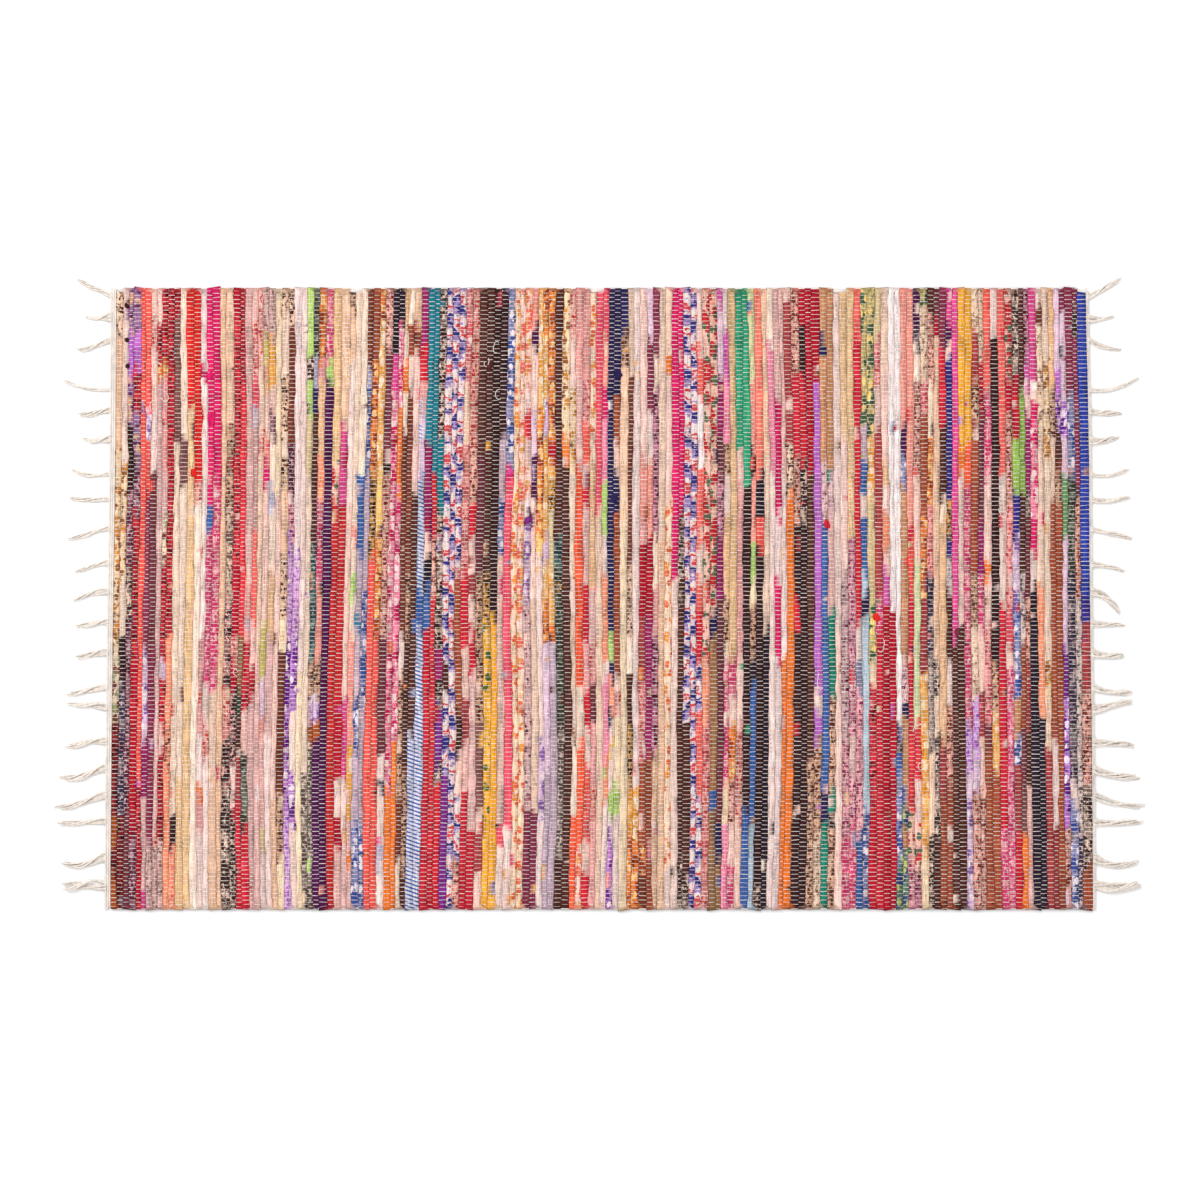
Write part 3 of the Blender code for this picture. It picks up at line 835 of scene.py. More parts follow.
def grow(name, guide, tree, **values):
    """Runs a tree on a guide mesh, and returns what grew as a plain mesh object."""
    obj = bpy.data.objects.new(name, guide)
    bpy.context.scene.collection.objects.link(obj)
    modifier = obj.modifiers.new(tree.name, "NODES")
    modifier.node_group = tree
    sockets = {item.name: item.identifier for item in tree.interface.items_tree
               if item.item_type == "SOCKET" and item.in_out == "INPUT"}
    for key, value in values.items():
        modifier[sockets[key.replace("_", " ")]] = value
    graph = bpy.context.evaluated_depsgraph_get()
    mesh = bpy.data.meshes.new_from_object(obj.evaluated_get(graph))
    obj.modifiers.clear()
    obj.data = mesh
    bpy.data.meshes.remove(guide)
    mesh.name = name
    return obj


def triangles(obj):
    return sum(len(polygon.vertices) - 2 for polygon in obj.data.polygons)


# %% The winding guide of a panel of picks
# A ring of six sides is this high above its middle where it is 1 wide to either side.
RING_HEIGHT = 0.866
# A rag bulges at the corners of its turn, and lies a little lower there.
CORNER_BULGE, TURN_DROP = 1.27, 0.3 * MM


def points_mesh(name, columns, edges=()):
    """A mesh of points. The columns x, y and z place them, and the rest ride on them."""
    columns = dict(columns)
    places = [columns.pop("x") + SHIFT_X, columns.pop("y") + SHIFT_Y, columns.pop("z")]
    mesh = bpy.data.meshes.new(name)
    mesh.from_pydata(np.stack(places, 1).tolist(), edges, [])
    for key, values in columns.items():
        mesh.attributes.new(key, "FLOAT", "POINT").data.foreach_set("value", values)
    return mesh


def guide_mesh(name, lines):
    """Polylines as a mesh. Each line is a dict of equally long arrays: x, y, z and the rest."""
    edges, start = [], 0
    for line in lines:
        count = len(line["x"])
        edges += [(start + i, start + i + 1) for i in range(count - 1)]
        start += count
    joined = {key: np.concatenate([line[key] for line in lines]) for key in lines[0]}
    return points_mesh(name, joined, edges)


def wander(dice, count, spacing, size):
    """Smooth noise of about that size, with a new random value every few points."""
    knots = dice.normal(0.0, size, count // spacing + 3)
    return np.interp(np.arange(count) / spacing, np.arange(len(knots)), knots)


def winding_line(sides, first_rib, thick, low, bulk, overlap, inset, dice):
    """One rag or yarn laid to and fro through the ribs between the given hollows.

    thick is the top where the warp passes under it, low the drop where the warp passes over,
    and bulk half its own height. overlap widens it over its neighbours, and inset is the
    number of warp ends left free at each selvedge for the turn. Its width, height and shade
    wander a little.
    """
    parts = []
    for k in range(len(sides) - 1):
        rib, used = first_rib + k, slice(inset, WARP_ENDS - inset)
        x = (sides[k, used] + sides[k + 1, used]) / 2
        half = (sides[k + 1, used] - sides[k, used]) / 2 * overlap
        half = half * (1 + np.clip(wander(dice, len(x), 4, 0.06), -0.12, 0.12))
        over = (rib + np.arange(WARP_ENDS)[used]) % 2 == 0
        centre = thick - bulk - np.where(over, low, 0.0)
        centre = centre + np.clip(wander(dice, len(x), 5, 0.08 * MM), -0.15 * MM, 0.1 * MM)
        part = {"x": x, "y": WARP_Y[used], "z": centre, "half_width": half,
                "flat": bulk / (RING_HEIGHT * half), "rib": np.full(len(x), float(rib))}
        if k % 2:
            part = {key: values[::-1] for key, values in part.items()}
        if parts:
            parts.append(selvedge_turn(parts[-1], part, bulk, thick))
        parts.append(part)
    line = {key: np.concatenate([part[key] for part in parts]) for key in parts[0]}
    line["centre"], line["middle"] = line["z"].copy(), line["x"] + SHIFT_X
    line["shade"] = 1 + np.clip(wander(dice, len(line["x"]), 3, 0.04), -0.1, 0.06)
    return line


def selvedge_turn(before, after, bulk, thick):
    """The U-turn between two picks, round the outermost warp."""
    x0, x1, y = before["x"][-1], after["x"][0], before["y"][-1]
    half0, half1 = before["half_width"][-1], after["half_width"][0]
    reach = WIDTH / 2 - abs(y) - min(half0, half1)
    # A square bend, because its neighbours crowd it. Corners are swept wider to fill out.
    half = np.array([half0, half0 * CORNER_BULGE, half1 * CORNER_BULGE, half1])
    return {
        "x": np.array([x0, x0, x1, x1]),
        "y": y + math.copysign(1, y) * reach * np.array([0.5, 1.0, 1.0, 0.5]),
        "z": np.full(4, thick - bulk) - TURN_DROP, "half_width": half,
        "flat": bulk / (RING_HEIGHT * half),
        "rib": np.array([before["rib"][-1]] * 2 + [after["rib"][0]] * 2)}


# %% Laying colours on the swept rags
PAINT_SEED, JOIN_SEED = 1000, 2000
# How far a join reaches along the rib on either side of it, and how ragged its edge is, as
# shares of the rug's width. A tongue's reach changes sign three quarters of the way out.
JOIN_SLANT, JOIN_TONGUE, RAGGED = (-0.014, 0.014), (-0.045, 0.045), 0.0012
TONGUE_EDGE = 0.75
# How strip by strip a fabric has faded, as a factor, and yellowed, and how much of the
# yellowing is taken from red, green and blue.
FADING, YELLOWING, YELLOWED = (0.88, 1.10), (-0.03, 0.09), (0.0, 0.45, 1.0)
# Peeps of other rags: one to four on a rib, how long as a share of it, and how far out.
PEEPS, PEEP_LENGTH, PEEP_PLACE = (1, 5), (0.005, 0.028), (0.2, 0.7)
# The shades of a fold's other face, how much wear varies and between which limits, and the
# lightest colour that cotton has.
FOLD_SHADES, WEAR, WEAR_LIMITS = (0.72, 0.84, 1.10, 1.22), 0.07, (0.8, 1.15)
WHITEST = 0.93
FOLD_KNOTS, WEAR_KNOTS = np.linspace(0, 1, 30), np.linspace(0, 1, 90)


def read_points(mesh, name):
    """The mesh's attribute of that name, one value for each vertex."""
    values = np.empty(len(mesh.vertices))
    mesh.attributes[name].data.foreach_get("value", values)
    return values


def vertex_places(mesh):
    places = np.empty(3 * len(mesh.vertices))
    mesh.vertices.foreach_get("co", places)
    return places.reshape(-1, 3)


def strip_numbers(k, share, across, dice):
    """Which strip of rib k each vertex belongs to.

    Where two rags meet, one is laid over the other's tapered end, so that the join runs
    slanted over the rib or leaves a tongue in its middle.
    """
    ends = PLAN[k][1]
    join_dice = np.random.default_rng(JOIN_SEED + k)
    slants = join_dice.uniform(*JOIN_SLANT, len(ends)) * across[:, None]
    tongues = join_dice.uniform(*JOIN_TONGUE, len(ends)) * (np.abs(across[:, None]) - TONGUE_EDGE)
    reach = share + dice.normal(0.0, RAGGED, len(share))
    return (reach[:, None] > ends + slants + tongues).sum(axis=1)


def faded_fabrics(names, dice):
    """The fabrics of those names. The same fabric has faded differently in each strip."""
    fabrics = np.array([FABRICS[name] for name in names])
    fabrics[:, COLOUR_PART] *= dice.uniform(*FADING, (len(names), 1))
    yellowing = dice.uniform(*YELLOWING, (len(names), 1))
    fabrics[:, COLOUR_PART] *= 1 - yellowing * np.tile(YELLOWED, 3)
    return fabrics


def add_peeps(paint, k, share, across, dice):
    """Here and there a neighbour's rag, or the end of another strip, peeps out at one side."""
    for _ in range(dice.integers(*PEEPS)):
        other = PLAN[min(max(k + dice.integers(-1, 2), 0), RIB_COUNT - 1)][0]
        peep = FABRICS[other[dice.integers(len(other))]]
        start, length = dice.uniform(0, 1), dice.uniform(*PEEP_LENGTH)
        side, least = dice.choice((-1, 1)), dice.uniform(*PEEP_PLACE)
        shows = (share > start) & (share < start + length) & (side * across > least)
        paint[shows] = peep


def wear_and_folds(k, run, share, across, dice):
    """How much lighter or darker than its fabric each vertex is.

    A fold comes and goes along one side of the rib and shows a lighter or darker face.
    """
    fold = np.interp(share, FOLD_KNOTS, dice.normal(0.0, 1.0, len(FOLD_KNOTS)))
    faces = dice.choice(FOLD_SHADES, len(PLAN[k][0]))[run]
    folded = np.sign(fold) * across > 1.0 - 0.5 * np.abs(fold)
    wear = 1 + np.interp(share, WEAR_KNOTS, dice.normal(0.0, WEAR, len(WEAR_KNOTS)))
    return np.clip(wear, *WEAR_LIMITS) * np.where(folded, faces, 1.0)


def paint_rib(k, share, across):
    """Rows of fabric numbers for the vertices of rib k."""
    dice = np.random.default_rng(PAINT_SEED + k)
    run = strip_numbers(k, share, across, dice)
    paint = faded_fabrics(PLAN[k][0], dice)[run]
    add_peeps(paint, k, share, across, dice)
    wear = wear_and_folds(k, run, share, across, dice)
    paint[:, COLOUR_PART] = np.minimum(paint[:, COLOUR_PART] * wear[:, None], WHITEST)
    return paint


def paint_rags(obj):
    """Writes each vertex's fabric from the plan as colour attributes."""
    mesh = obj.data
    places = vertex_places(mesh)
    rib = read_points(mesh, "rib").round().astype(int)
    share = 0.5 - (places[:, 1] - SHIFT_Y) / WIDTH
    across = (places[:, 0] - read_points(mesh, "middle")) / read_points(mesh, "half_width")
    across = np.clip(across, -1, 1)
    paint = np.empty((len(places), FABRIC_NUMBERS))
    for k in np.unique(rib):
        mine = np.flatnonzero(rib == k)
        paint[mine] = paint_rib(k, share[mine], across[mine])
    store_paint(mesh, paint)


def store_paint(mesh, paint):
    """Rows of read_fabric, one for each vertex, as the rag material's attributes."""
    ones = np.ones((len(paint), 1))
    for name, values in (
        ("rag_ground", np.hstack([paint[:, 0:3], paint[:, 13:14]])),
        ("rag_ink", np.hstack([paint[:, 3:6], ones])),
        ("rag_accent", np.hstack([paint[:, 6:9], ones])),
        ("rag_print", paint[:, 9:13]),
    ):
        layer = mesh.attributes.new(name, "FLOAT_COLOR", "POINT")
        layer.data.foreach_set("color", values.astype(np.float32).ravel())


def keep_off_floor(mesh):
    """Lifts what lies lower than a hair above the floor."""
    places = vertex_places(mesh)
    places[:, 2] = np.maximum(places[:, 2], FLOOR_GAP)
    mesh.vertices.foreach_set("co", places.ravel())


# %% The rag panels
PANEL_RIBS, FLOOR_GAP = 38, 0.03 * MM
RAG_TOP, RAG_DROP, RAG_BULK = 5.0 * MM, 0.65 * MM, 2.1 * MM
RAG_OVERLAP, RAG_INSET = 1.10, 2


def panels():
    """Number, first rib and hollows between the ribs of each panel of the cloth."""
    for panel in range(RIB_COUNT // PANEL_RIBS):
        first = panel * PANEL_RIBS
        yield panel, first, SIDES[first:first + PANEL_RIBS + 1]


rag_panels = []
for panel, first, sides in panels():
    dice = np.random.default_rng(SEED + panel)
    line = winding_line(sides, first, RAG_TOP, RAG_DROP, RAG_BULK, RAG_OVERLAP, RAG_INSET, dice)
    piece = grow(f"rag_panel_{panel + 1}", guide_mesh("rag_guide", [line]), PICK_TREE,
                 Profile_sides=6, Crumple=1.5 * MM, Crumple_scale=270.0, Material=RAG)
    keep_off_floor(piece.data)
    paint_rags(piece)
    rag_panels.append(piece)
    print(piece.name, triangles(piece), "triangles")

# %% [markdown]
# ## Warp over and under
#
# The warp shows as short dashes: each yarn arches over one rib and dives under the next, and
# its neighbours do the opposite, like bricks. A dash needs only a dozen faces. One small arch
# is made from a few listed points, and the tree sets it on a point for each crossing, turned
# and stretched to the rib it crosses.

# %% The tree that sets the stitches
def stitch_tree():
    tree, wire, given = new_tree("set_stitches", Stitch="Object", Material="Material")
    shape = wire.add("GeometryNodeObjectInfo", None, {"Object": given.out("Stitch")}, "Geometry")
    turn = vector_of(wire, z=named(wire, "turn"))
    size = vector_of(wire, named(wire, "reach"), named(wire, "thickness"), 1.0)
    points = wire.add("GeometryNodeMeshToPoints", None, {"Mesh": given, "Radius": 0.001})
    set_out = wire.add("GeometryNodeInstanceOnPoints", None, {
        "Points": points, "Instance": shape, "Scale": size,
        "Rotation": wire.add("FunctionNodeEulerToRotation", None, {0: turn})})
    end_tree(wire, set_out, given.out("Material"))
    return tree


STITCH_TREE = stitch_tree()


def stitch_shape(name, stations):
    """A small arch across one rib. Each station is its x and its heights across the yarn."""
    vertices, faces = [], []
    count = len(stations[0]) - 1
    for x, *heights in stations:
        vertices += [(x, 0.5 - i / (count - 1), z) for i, z in enumerate(heights)]
    for i in range(len(stations) - 1):
        for j in range(count - 1):
            a = count * i + j
            faces.append((a, a + 1, a + count + 1, a + count))
    mesh = bpy.data.meshes.new(name)
    mesh.from_pydata(vertices, [], faces)
    return bpy.data.objects.new(name, mesh)


# How far a stitch strays and turns at random, its length as a share of the rib's width, and
# how much its thickness and shade vary.
STRAY, SKEW, SPAN = 0.08 * MM, 0.05, 0.98
THICKNESSES, SHADES = (0.86, 1.16), (0.90, 1.04)


def stitch_points(sides, first_rib, parity, dice, thickness):
    """One point for every crossing where (rib + warp end) is even or odd."""
    rows = {key: [] for key in ("x", "y", "z", "turn", "reach", "thickness", "shade")}
    for k in range(len(sides) - 1):
        ends = np.arange(WARP_ENDS)
        ends = ends[(first_rib + k + ends) % 2 == parity]
        count = len(ends)
        rows["x"].append((sides[k, ends] + sides[k + 1, ends]) / 2)
        rows["y"].append(WARP_Y[ends] + dice.normal(0.0, STRAY, count))
        rows["z"].append(np.zeros(count))
        rows["turn"].append(dice.normal(0.0, SKEW, count))
        rows["reach"].append((sides[k + 1, ends] - sides[k, ends]) / 2 * SPAN)
        rows["thickness"].append(thickness * dice.uniform(*THICKNESSES, count))
        rows["shade"].append(dice.uniform(*SHADES, count))
    return {key: np.concatenate(values) for key, values in rows.items()}


# %% Stitches of the rag cloth
# The yarn's ridge stands out of the rag, and its two edges are buried in it.
OVER = [(x, edge * MM, ridge * MM, edge * MM) for x, ridge, edge in (
    (-1.04, 3.6, 2.5), (-0.76, 4.92, 3.7), (0.76, 4.92, 3.7), (1.04, 3.6, 2.5))]
UNDER = [(x, height * MM, height * MM) for x, height in ((0.96, 1.3), (0.0, 0.03), (-0.96, 1.3))]
over_stitch = stitch_shape("over_stitch", OVER)
under_stitch = stitch_shape("under_stitch", UNDER)


def join(name, objects):
    """One plain mesh object out of several."""
    with bpy.context.temp_override(active_object=objects[0], selected_editable_objects=objects):
        bpy.ops.object.join()
    objects[0].name = name
    return objects[0]


WARP_THICKNESS, WARP_SEED = 1.15 * MM, 50
warp_panels = []
for panel, first, sides in panels():
    dice = np.random.default_rng(WARP_SEED + panel)
    halves = []
    for parity, shape in ((0, over_stitch), (1, under_stitch)):
        rows = stitch_points(sides, first, parity, dice, WARP_THICKNESS)
        halves.append(grow(f"warp_half_{parity}", points_mesh("warp_points", rows), STITCH_TREE,
                           Stitch=shape, Material=WARP_YARN))
    piece = join(f"warp_{panel + 1}", halves)
    warp_panels.append(piece)
    print(piece.name, triangles(piece), "triangles")

# %% [markdown]
# ## Knots and loose ends
#
# Here and there a rag is knotted to the next one or its end sticks out as a lump on the rib,
# and now and then a thread has worked loose and curls over the ribs. They are what makes the
# cloth look made by hand, and each is only a short line that the pick tree sweeps.

# %% Where knots and loose threads lie
# X from the layout's origin in millimetres, share of the width in percent, then the fabric and
# the lump's width and length in millimetres.
KNOTS = (
    (-533.5, 2.9, "black", 5, 7), (-534.0, 8.4, "black", 5, 6), (-533.0, 12.6, "black", 5, 6),
    (-440.0, 14.2, "magenta", 8, 10), (-437.5, 21.0, "magenta", 9, 19),
    (-458.0, 29.8, "tomato", 7, 10), (19.5, 13.8, "navy", 9, 14), (15.0, 33.8, "navy", 8, 12),
    (-102.5, 29.6, "hotpink", 7, 10), (-82.0, 37.4, "violetdark", 7, 9),
    (-125.0, 12.6, "blackbrown", 8, 9), (402.0, 55.4, "plumblack", 7, 9),
    (255.0, 38.0, "crimsonred", 7, 12), (310.0, 53.0, "tomato", 8, 11),
)
# X, share, then the curl's radius in millimetres and its start and end in turns.
THREADS = (
    (-118.0, 9.5, 5, 0.10, 0.80), (-128.0, 12.0, 4, 0.45, 1.20), (-112.0, 17.0, 7, 0.30, 0.75),
    (-497.0, 13.0, 8, 0.10, 0.50), (-492.0, 17.5, 6, 0.55, 1.15), (-503.0, 19.5, 7, 0.20, 0.60),
    (248.0, 63.0, 8, 0.30, 0.80), (316.0, 57.5, 6, 0.60, 1.20), (358.0, 71.0, 7, 0.05, 0.55),
    (362.0, 77.0, 5, 0.30, 1.00), (-410.0, 62.0, 4, 0.10, 0.80), (452.0, 36.0, 6, 0.40, 1.00),
)
# A knot's top, half its own height, how far its ends fall and how much it bends.
KNOT_HEIGHT, KNOT_BULK, KNOT_FALL, KNOT_BEND = 5.9 * MM, 1.5 * MM, 0.9 * MM, 0.8 * MM
# A thread rests and waves on the ribs, and its two ends are tucked in.
THREAD_RADIUS, THREAD_REST, THREAD_POINTS = 0.33 * MM, 5.3 * MM, 14
THREAD_WAVE, THREAD_TUCK = 0.25 * MM, 1.2 * MM


def sweep_guide(x, y, z, half_width, flat, number):
    """A line for the pick tree. number tells it from the others once they are one mesh."""
    shape = np.ones(len(x))
    return {"x": x, "y": y, "z": z, "half_width": half_width, "flat": flat * shape,
            "centre": z, "rib": number * shape, "shade": 0.97 * shape}


knot_lines, thread_lines = [], []
for number, (x, share, _, wide, long) in enumerate(KNOTS):
    t = np.linspace(-1, 1, 7)
    half = wide / 2 * MM * np.sqrt(1.04 - t * t) * (1 + 0.12 * np.sin(5 * t + number))
    y = WIDTH * (0.5 - share / 100) - long / 2 * MM * t
    z = KNOT_HEIGHT - KNOT_BULK - KNOT_FALL * t * t
    knot_lines.append(sweep_guide(x * MM + KNOT_BEND * np.sin(3 * t + number), y, z, half,
                                  KNOT_BULK / half.max(), number))
for number, (x, share, radius, start, end) in enumerate(THREADS):
    turn = np.linspace(start, end, THREAD_POINTS) * math.tau
    radii = radius * MM * (1 + 0.35 * np.sin(1.7 * turn + number))
    y = WIDTH * (0.5 - share / 100) + radii * np.sin(turn)
    z = THREAD_REST + THREAD_WAVE * np.sin(2.3 * turn)
    z[[0, -1]] -= THREAD_TUCK
    thread_lines.append(sweep_guide(x * MM + 0.7 * radii * np.cos(turn), y, z,
                                    np.full(THREAD_POINTS, THREAD_RADIUS), 1.0, number))
knots = grow("rag_knots", guide_mesh("knot_guide", knot_lines), PICK_TREE,
             Profile_sides=8, Crumple=2.0 * MM, Crumple_scale=420.0, Material=RAG)
owner = read_points(knots.data, "rib").round().astype(int)
store_paint(knots.data, np.array([FABRICS[row[2]] for row in KNOTS])[owner])
threads = grow("loose_threads", guide_mesh("thread_guide", thread_lines), PICK_TREE,
               Profile_sides=5, Crumple=0.0, Crumple_scale=100.0, Material=WARP_YARN)
print(knots.name, triangles(knots), "and", threads.name, triangles(threads), "triangles")

# %% [markdown]
# ## The headings
#
# After the last rag, the weaver throws a few picks of the warp's own cotton and beats them
# tight, so that the rags cannot slide off. They are picks like the others, only finer: the
# same guide and the same trees make them.

# %% Both headings
HEADING_GAP = 0.3 * MM
HEADING_TOP, HEADING_DROP, HEADING_BULK = 3.5 * MM, 0.5 * MM, 1.45 * MM
HEADING_OVERLAP, HEADING_INSET, HEADING_STITCH, HEADING_SEED = 1.06, 1, 1.5 * MM, 80
# For each end: which way it faces along X, the heading's width and its number of picks.
HEADINGS = {"left": (-1, 7.0 * MM, 3), "right": (1, 3.0 * MM, 2)}
FINE_OVER = [(x, edge * MM, ridge * MM, edge * MM) for x, ridge, edge in (
    (-1.0, 1.9, 1.3), (-0.5, 3.35, 2.6), (0.5, 3.35, 2.6), (1.0, 1.9, 1.3))]
fine_stitch = stitch_shape("fine_stitch", FINE_OVER)


def heading(side_name):
    side, width, picks = HEADINGS[side_name]
    edge = SIDES[0] if side < 0 else SIDES[-1]
    ends = [edge + side * (HEADING_GAP + width * i / picks) for i in range(picks + 1)]
    sides = np.array(ends[::-1] if side < 0 else ends)
    dice = np.random.default_rng(HEADING_SEED + side)
    line = winding_line(sides, 0, HEADING_TOP, HEADING_DROP, HEADING_BULK, HEADING_OVERLAP,
                        HEADING_INSET, dice)
    yarn = grow("heading_yarn", guide_mesh("heading_guide", [line]), PICK_TREE,
                Profile_sides=6, Crumple=0.25 * MM, Crumple_scale=600.0, Material=HEADING_YARN)
    keep_off_floor(yarn.data)
    rows = stitch_points(sides, 0, 0, dice, HEADING_STITCH)
    stitches = grow("heading_stitches", points_mesh("heading_points", rows), STITCH_TREE,
                    Stitch=fine_stitch, Material=HEADING_YARN)
    piece = join("heading_" + side_name, [yarn, stitches])
    print(piece.name, triangles(piece), "triangles")
    return piece


headings = {name: heading(name) for name in HEADINGS}

# %% [markdown]
# ## The fringe
#
# Groups of warp ends hang out of the heading as loosely twisted strands. They leave it side
# by side, gather, and fray again near the tip, where each yarn ends at its own length. Each
# strand starts as one guide line. The tree copies it once for each yarn and winds the copies
# round it, each at its own angle and depth, then trims and sweeps them.

# %% Where the strands lie
# For each strand, in millimetres: root below the upper selvedge, reach from the heading, drift
# of its middle and of its tip, and its width at root, middle and tip.
STRANDS = (
    (9.6, 38, -10.0, -19.7, 5.0, 6.5, 4.0),
    (33.8, 29, 0.5, -2.0, 12.5, 6.0, 3.5),
    (58.6, 38, 8.0, 11.0, 7.0, 7.5, 4.5),
    (114.3, 56, -1.0, -14.0, 4.5, 4.5, 3.0),
    (138.0, 36, 3.0, 4.5, 7.5, 7.0, 5.0),
    (171.0, 32, 0.3, -2.8, 10.0, 8.0, 3.5),
    (209.5, 43, 1.5, -5.6, 4.0, 4.8, 3.5),
    (238.0, 46, 1.0, -2.8, 6.5, 7.0, 4.5),
    (271.0, 46, 6.0, 12.4, 5.0, 5.5, 4.5),
    (310.0, 38, 4.0, 10.7, 8.0, 5.0, 4.0),
    (341.0, 40, 5.0, 11.3, 11.5, 8.5, 4.0),
    (377.0, 37, 1.5, 3.0, 9.5, 7.0, 4.0),
    (410.5, 37, 3.0, 4.5, 10.0, 9.5, 6.0),
    (449.0, 45, 5.5, 7.6, 9.5, 8.5, 6.5),
    (474.0, 44, -5.0, -7.4, 12.5, 9.0, 7.0),
    (511.0, 46, 1.5, 5.6, 10.0, 8.5, 7.5),
    (541.0, 52, 8.5, 10.5, 10.5, 9.5, 7.5),
    (571.0, 58, 10.0, 13.5, 10.5, 9.0, 6.5),
    (601.0, 56, 1.2, 1.0, 8.5, 7.5, 6.0),
    (641.0, 51, 9.0, 4.5, 11.5, 8.5, 6.0),
    (673.0, 53, 0.3, -0.5, 15.0, 16.0, 10.0),
)
# The right end's own lie of the strand with that root.
HOOKED = (341.0, 32, 7.0, 29.0, 11.5, 10.0, 4.0)
# A strand starts inside the heading, and comes down from it to the floor over this length.
ROOT_INSET, ROOT_LIFT, LIFT_LENGTH = 2.0 * MM, 1.3 * MM, 9 * MM


def through_three(first, middle, last, t):
    """The parabola that takes the three values at t = 0, 0.5 and 1."""
    return first * (1 - t) * (1 - 2 * t) + middle * 4 * t * (1 - t) + last * t * (2 * t - 1)


def strand_line(row, outer_edge, side):
    root, reach, mid_drift, tip_drift, *widths = (value * MM for value in row)
    t = np.concatenate([[-ROOT_INSET / reach], np.linspace(0, 1, 11)])
    drift = through_three(0.0, mid_drift, tip_drift, np.maximum(t, 0))
    y = WIDTH / 2 - root
    edge = np.interp(y, WARP_Y[::-1], outer_edge[::-1])
    spread = through_three(*widths, np.maximum(t, 0)) / 2
    lift = ROOT_LIFT * np.clip(1 - t * reach / LIFT_LENGTH, 0, 1)
    return {"x": edge + side * reach * t, "y": y - drift, "z": lift, "spread": spread}


# %% The tree that makes yarns of a strand
def strand_tree():
    tree, wire, given = new_tree(
        "wind_strands", Yarns="Int", Yarn_radius="Float", Turns="Float", Seed="Int",
        Crinkle="Float", Material="Material")
    line = wire.add("GeometryNodeMeshToCurve", None, {"Mesh": given})
    line = wire.add("GeometryNodeResampleCurve", None, {"Curve": line, "Count": 20})
    line = wire.add("GeometryNodeDuplicateElements", {"domain": "SPLINE"}, {
        "Geometry": line, "Amount": given.out("Yarns")})

    def dice(low, high, salt):
        return wire.add("FunctionNodeRandomValue", {"data_type": "FLOAT"}, {
            "Min": low, "Max": high, "Seed": given.out("Seed") + salt}, output=1)

    for name, low, high in (("angle", 0.0, math.tau), ("depth", 0.1, 0.95), ("end", 0.80, 1.0),
                            ("slack", 0.7, 1.3), ("shade", 0.90, 1.06)):
        line = wire.add("GeometryNodeStoreNamedAttribute",
                        {"data_type": "FLOAT", "domain": "CURVE"},
                        {"Geometry": line, "Name": name, "Value": dice(low, high, len(name))})
    along = wire.add("GeometryNodeSplineParameter")
    sideways = wire.add("GeometryNodeInputTangent").vector("CROSS_PRODUCT", (0.0, 0.0, 1.0))
    turned = named(wire, "angle") + along * given.out("Turns") * named(wire, "slack") * math.tau
    reach = named(wire, "spread") * named(wire, "depth")
    out = reach * turned.math("COSINE", turned)
    up = reach * 0.42 * (turned.math("SINE", turned) + 1.0) + given.out("Yarn radius")
    offset = sideways.scaled(out).vector("ADD", vector_of(wire, z=up))
    line = wire.add("GeometryNodeSetPosition", None, {"Geometry": line, "Offset": offset})
    position = wire.add("GeometryNodeInputPosition")
    waves = wire.add("ShaderNodeTexNoise", {"noise_dimensions": "4D"}, {
        "Vector": position, "W": named(wire, "angle") * 3.0, "Scale": 130.0, "Detail": 1.0})
    waves = waves.out("Color").vector("SUBTRACT", (0.5, 0.5, 0.5))
    waves = waves.scaled(along * given.out("Crinkle"))
    line = wire.add("GeometryNodeSetPosition", None, {"Geometry": line, "Offset": waves})
    line = wire.add("GeometryNodeTrimCurve", None, {
        "Curve": line, "Start": 0.0, "End": named(wire, "end")})
    line = wire.add("GeometryNodeSetCurveNormal", {"mode": "Z_UP"}, {"Curve": line})
    line = wire.add("GeometryNodeStoreNamedAttribute",
                    {"data_type": "FLOAT", "domain": "POINT"},
                    {"Geometry": line, "Name": "along", "Value": along.out("Length")})
    ring = wire.add("GeometryNodeCurvePrimitiveCircle", None, {"Resolution": 4, "Radius": 1.0})
    taper = given.out("Yarn radius") * (1.0 - 0.45 * along.math("POWER", along, 4.0))
    taper = taper * (0.62 + 110.0 * named(wire, "spread"))
    swept = wire.add("GeometryNodeCurveToMesh", None, {
        "Curve": line, "Profile Curve": ring, "Scale": taper, "Fill Caps": True})
    end_tree(wire, swept, given.out("Material"))
    return tree


STRAND_TREE = strand_tree()


# %% Both fringes
def fringe(side_name):
    side, width, _ = HEADINGS[side_name]
    edge = (SIDES[0] if side < 0 else SIDES[-1]) + side * (HEADING_GAP + width)
    rows = [HOOKED if side > 0 and row[0] == HOOKED[0] else row for row in STRANDS]
    lines = [strand_line(row, edge, side) for row in rows]
    piece = grow("fringe_yarns_" + side_name, guide_mesh("fringe_guide", lines), STRAND_TREE,
                 Yarns=11, Yarn_radius=0.9 * MM, Turns=0.6, Seed=5 + side, Crinkle=3.0 * MM,
                 Material=FRINGE_YARN)
    keep_off_floor(piece.data)
    print(piece.name, triangles(piece), "triangles")
    return piece


fringes = {name: fringe(name) for name in HEADINGS}

# %% [markdown]
# ## Hanging it on the frame
#
# Rugs have no joints, so everything rides on the one body. The rags and warp stand for the
# cloth solid, and each heading with its fringe for the solid at its end.

# %% Bodies, and the solids that the pieces hide
rag_pieces = (*rag_panels, knots)
cotton_pieces = (*warp_panels, threads, *headings.values(), *fringes.values())
for piece in (*rag_pieces, *cotton_pieces):
    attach(piece, "root")
for piece in (*rag_pieces, *warp_panels, threads):
    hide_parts("cloth")
for name in HEADINGS:
    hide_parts("fringe_" + name)
    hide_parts("fringe_" + name)
for piece in rag_panels:
    RAG_LENGTH / len(rag_panels)

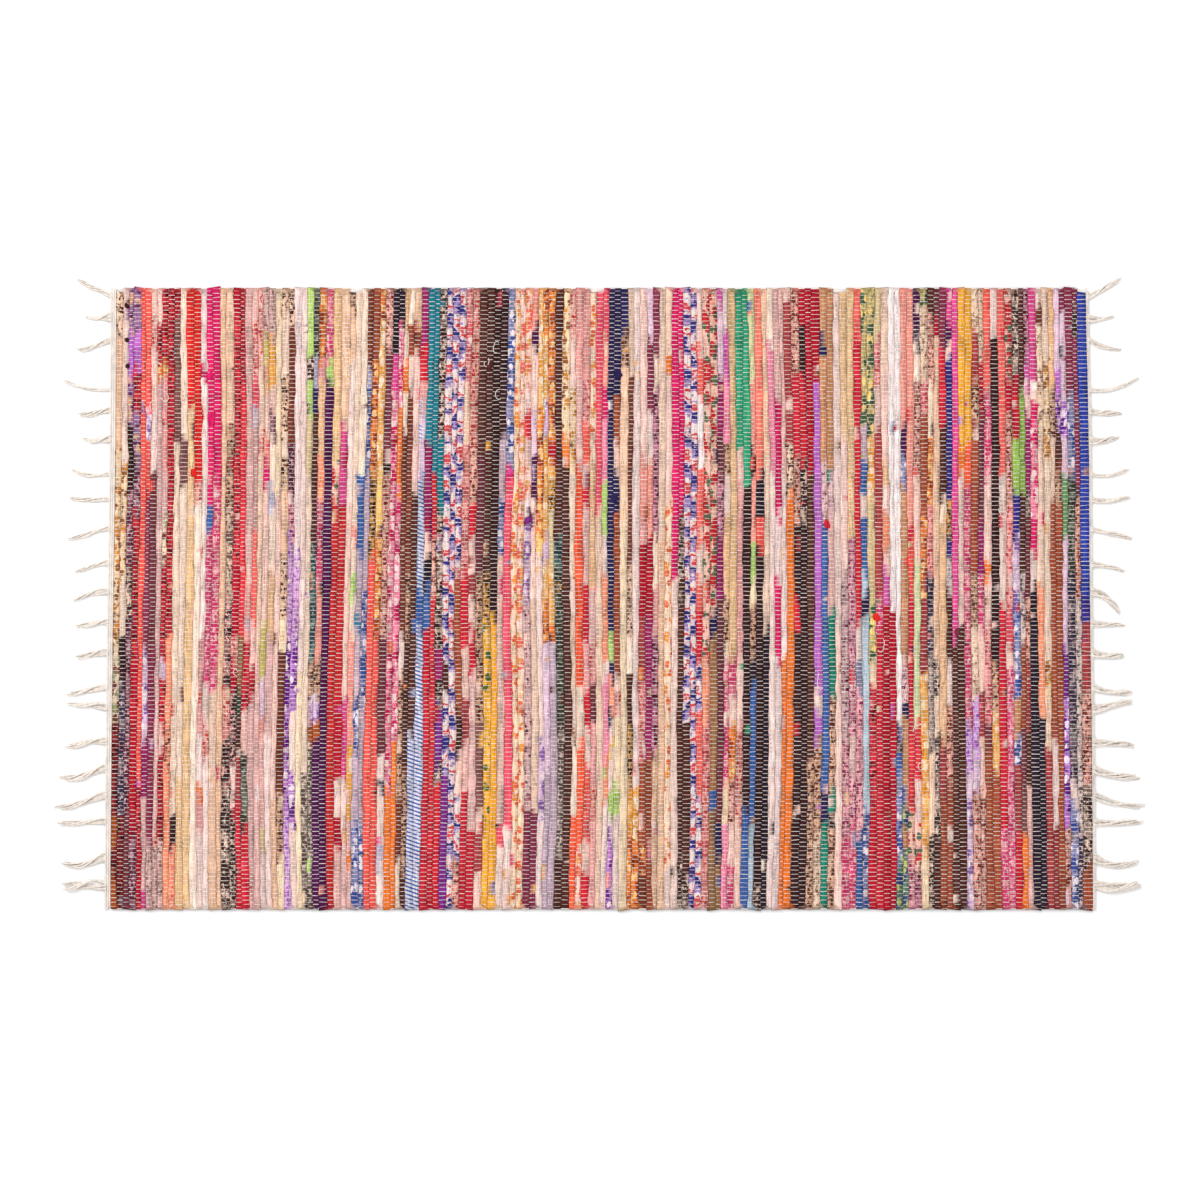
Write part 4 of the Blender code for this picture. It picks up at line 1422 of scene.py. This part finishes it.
# %% [markdown]
# ## The photo's setting
#
# The rug is seen from straight above on pure white, in even light with hardly a shadow. A
# long lens keeps the view nearly parallel. The plain Standard view transform shows colours
# as they are, so the fabrics' hex codes read true.

# %% Floor, light and camera
def floor_material():
    material, wire = new_material("pale_floor")
    place = wire.add("ShaderNodeTexCoord", output="Object")
    cloud = noise(place, 3.0)
    colour = (0.95 + 0.02 * cloud).grey()
    shader = wire.add("ShaderNodeBsdfPrincipled", None, {"Base Color": colour, "Roughness": 0.9})
    wire.add("ShaderNodeOutputMaterial", None, {"Surface": shader})
    return material


mesh = bpy.data.meshes.new("floor")
mesh.from_pydata([(-6, -6, 0), (6, -6, 0), (6, 6, 0), (-6, 6, 0)], [], [(0, 1, 2, 3)])
mesh.materials.append(floor_material())
floor = bpy.data.objects.new("floor", mesh)
bpy.context.scene.collection.objects.link(floor)

scene = bpy.context.scene
scene.view_settings.view_transform = "Standard"
DAYLIGHT = 0.84
world = bpy.data.worlds.new("pale_studio")
world.use_nodes = True
world.node_tree.nodes["Background"].inputs["Color"].default_value = (1.0, 1.0, 1.0, 1.0)
world.node_tree.nodes["Background"].inputs["Strength"].default_value = DAYLIGHT
scene.world = world


def softbox(name, place, size, power):
    """A square area light that looks at the rug's middle."""
    data = bpy.data.lights.new(name, "AREA")
    data.shape, data.size, data.energy = "SQUARE", size, power
    lamp = bpy.data.objects.new(name, data)
    scene.collection.objects.link(lamp)
    lamp.location = place
    away = np.array(place) / np.linalg.norm(place)
    lamp.rotation_euler = (math.acos(away[2]), 0.0, math.atan2(away[1], away[0]) + math.pi / 2)
    return lamp


softbox("softbox_upper_left", (-2.2, 2.6, 4.2), 3.0, 150.0)

# The picture's width on the floor, and where the camera stands, in metres.
FRAME_SPAN, EYE_HEIGHT, EYE_Y = 1.3516, 6.0, -0.0074
camera_data = bpy.data.cameras.new("straight_down")
camera_data.sensor_width = 36.0
camera_data.lens = camera_data.sensor_width * EYE_HEIGHT / FRAME_SPAN
camera = bpy.data.objects.new("straight_down", camera_data)
camera.location = (0.0, EYE_Y, EYE_HEIGHT)
scene.collection.objects.link(camera)
scene.camera = camera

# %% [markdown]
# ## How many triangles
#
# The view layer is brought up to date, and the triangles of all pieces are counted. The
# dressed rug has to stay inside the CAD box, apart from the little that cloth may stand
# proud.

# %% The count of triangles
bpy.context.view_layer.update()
total = sum(triangles(piece) for piece in (*rag_pieces, *cotton_pieces))
print(total, "triangles in all")
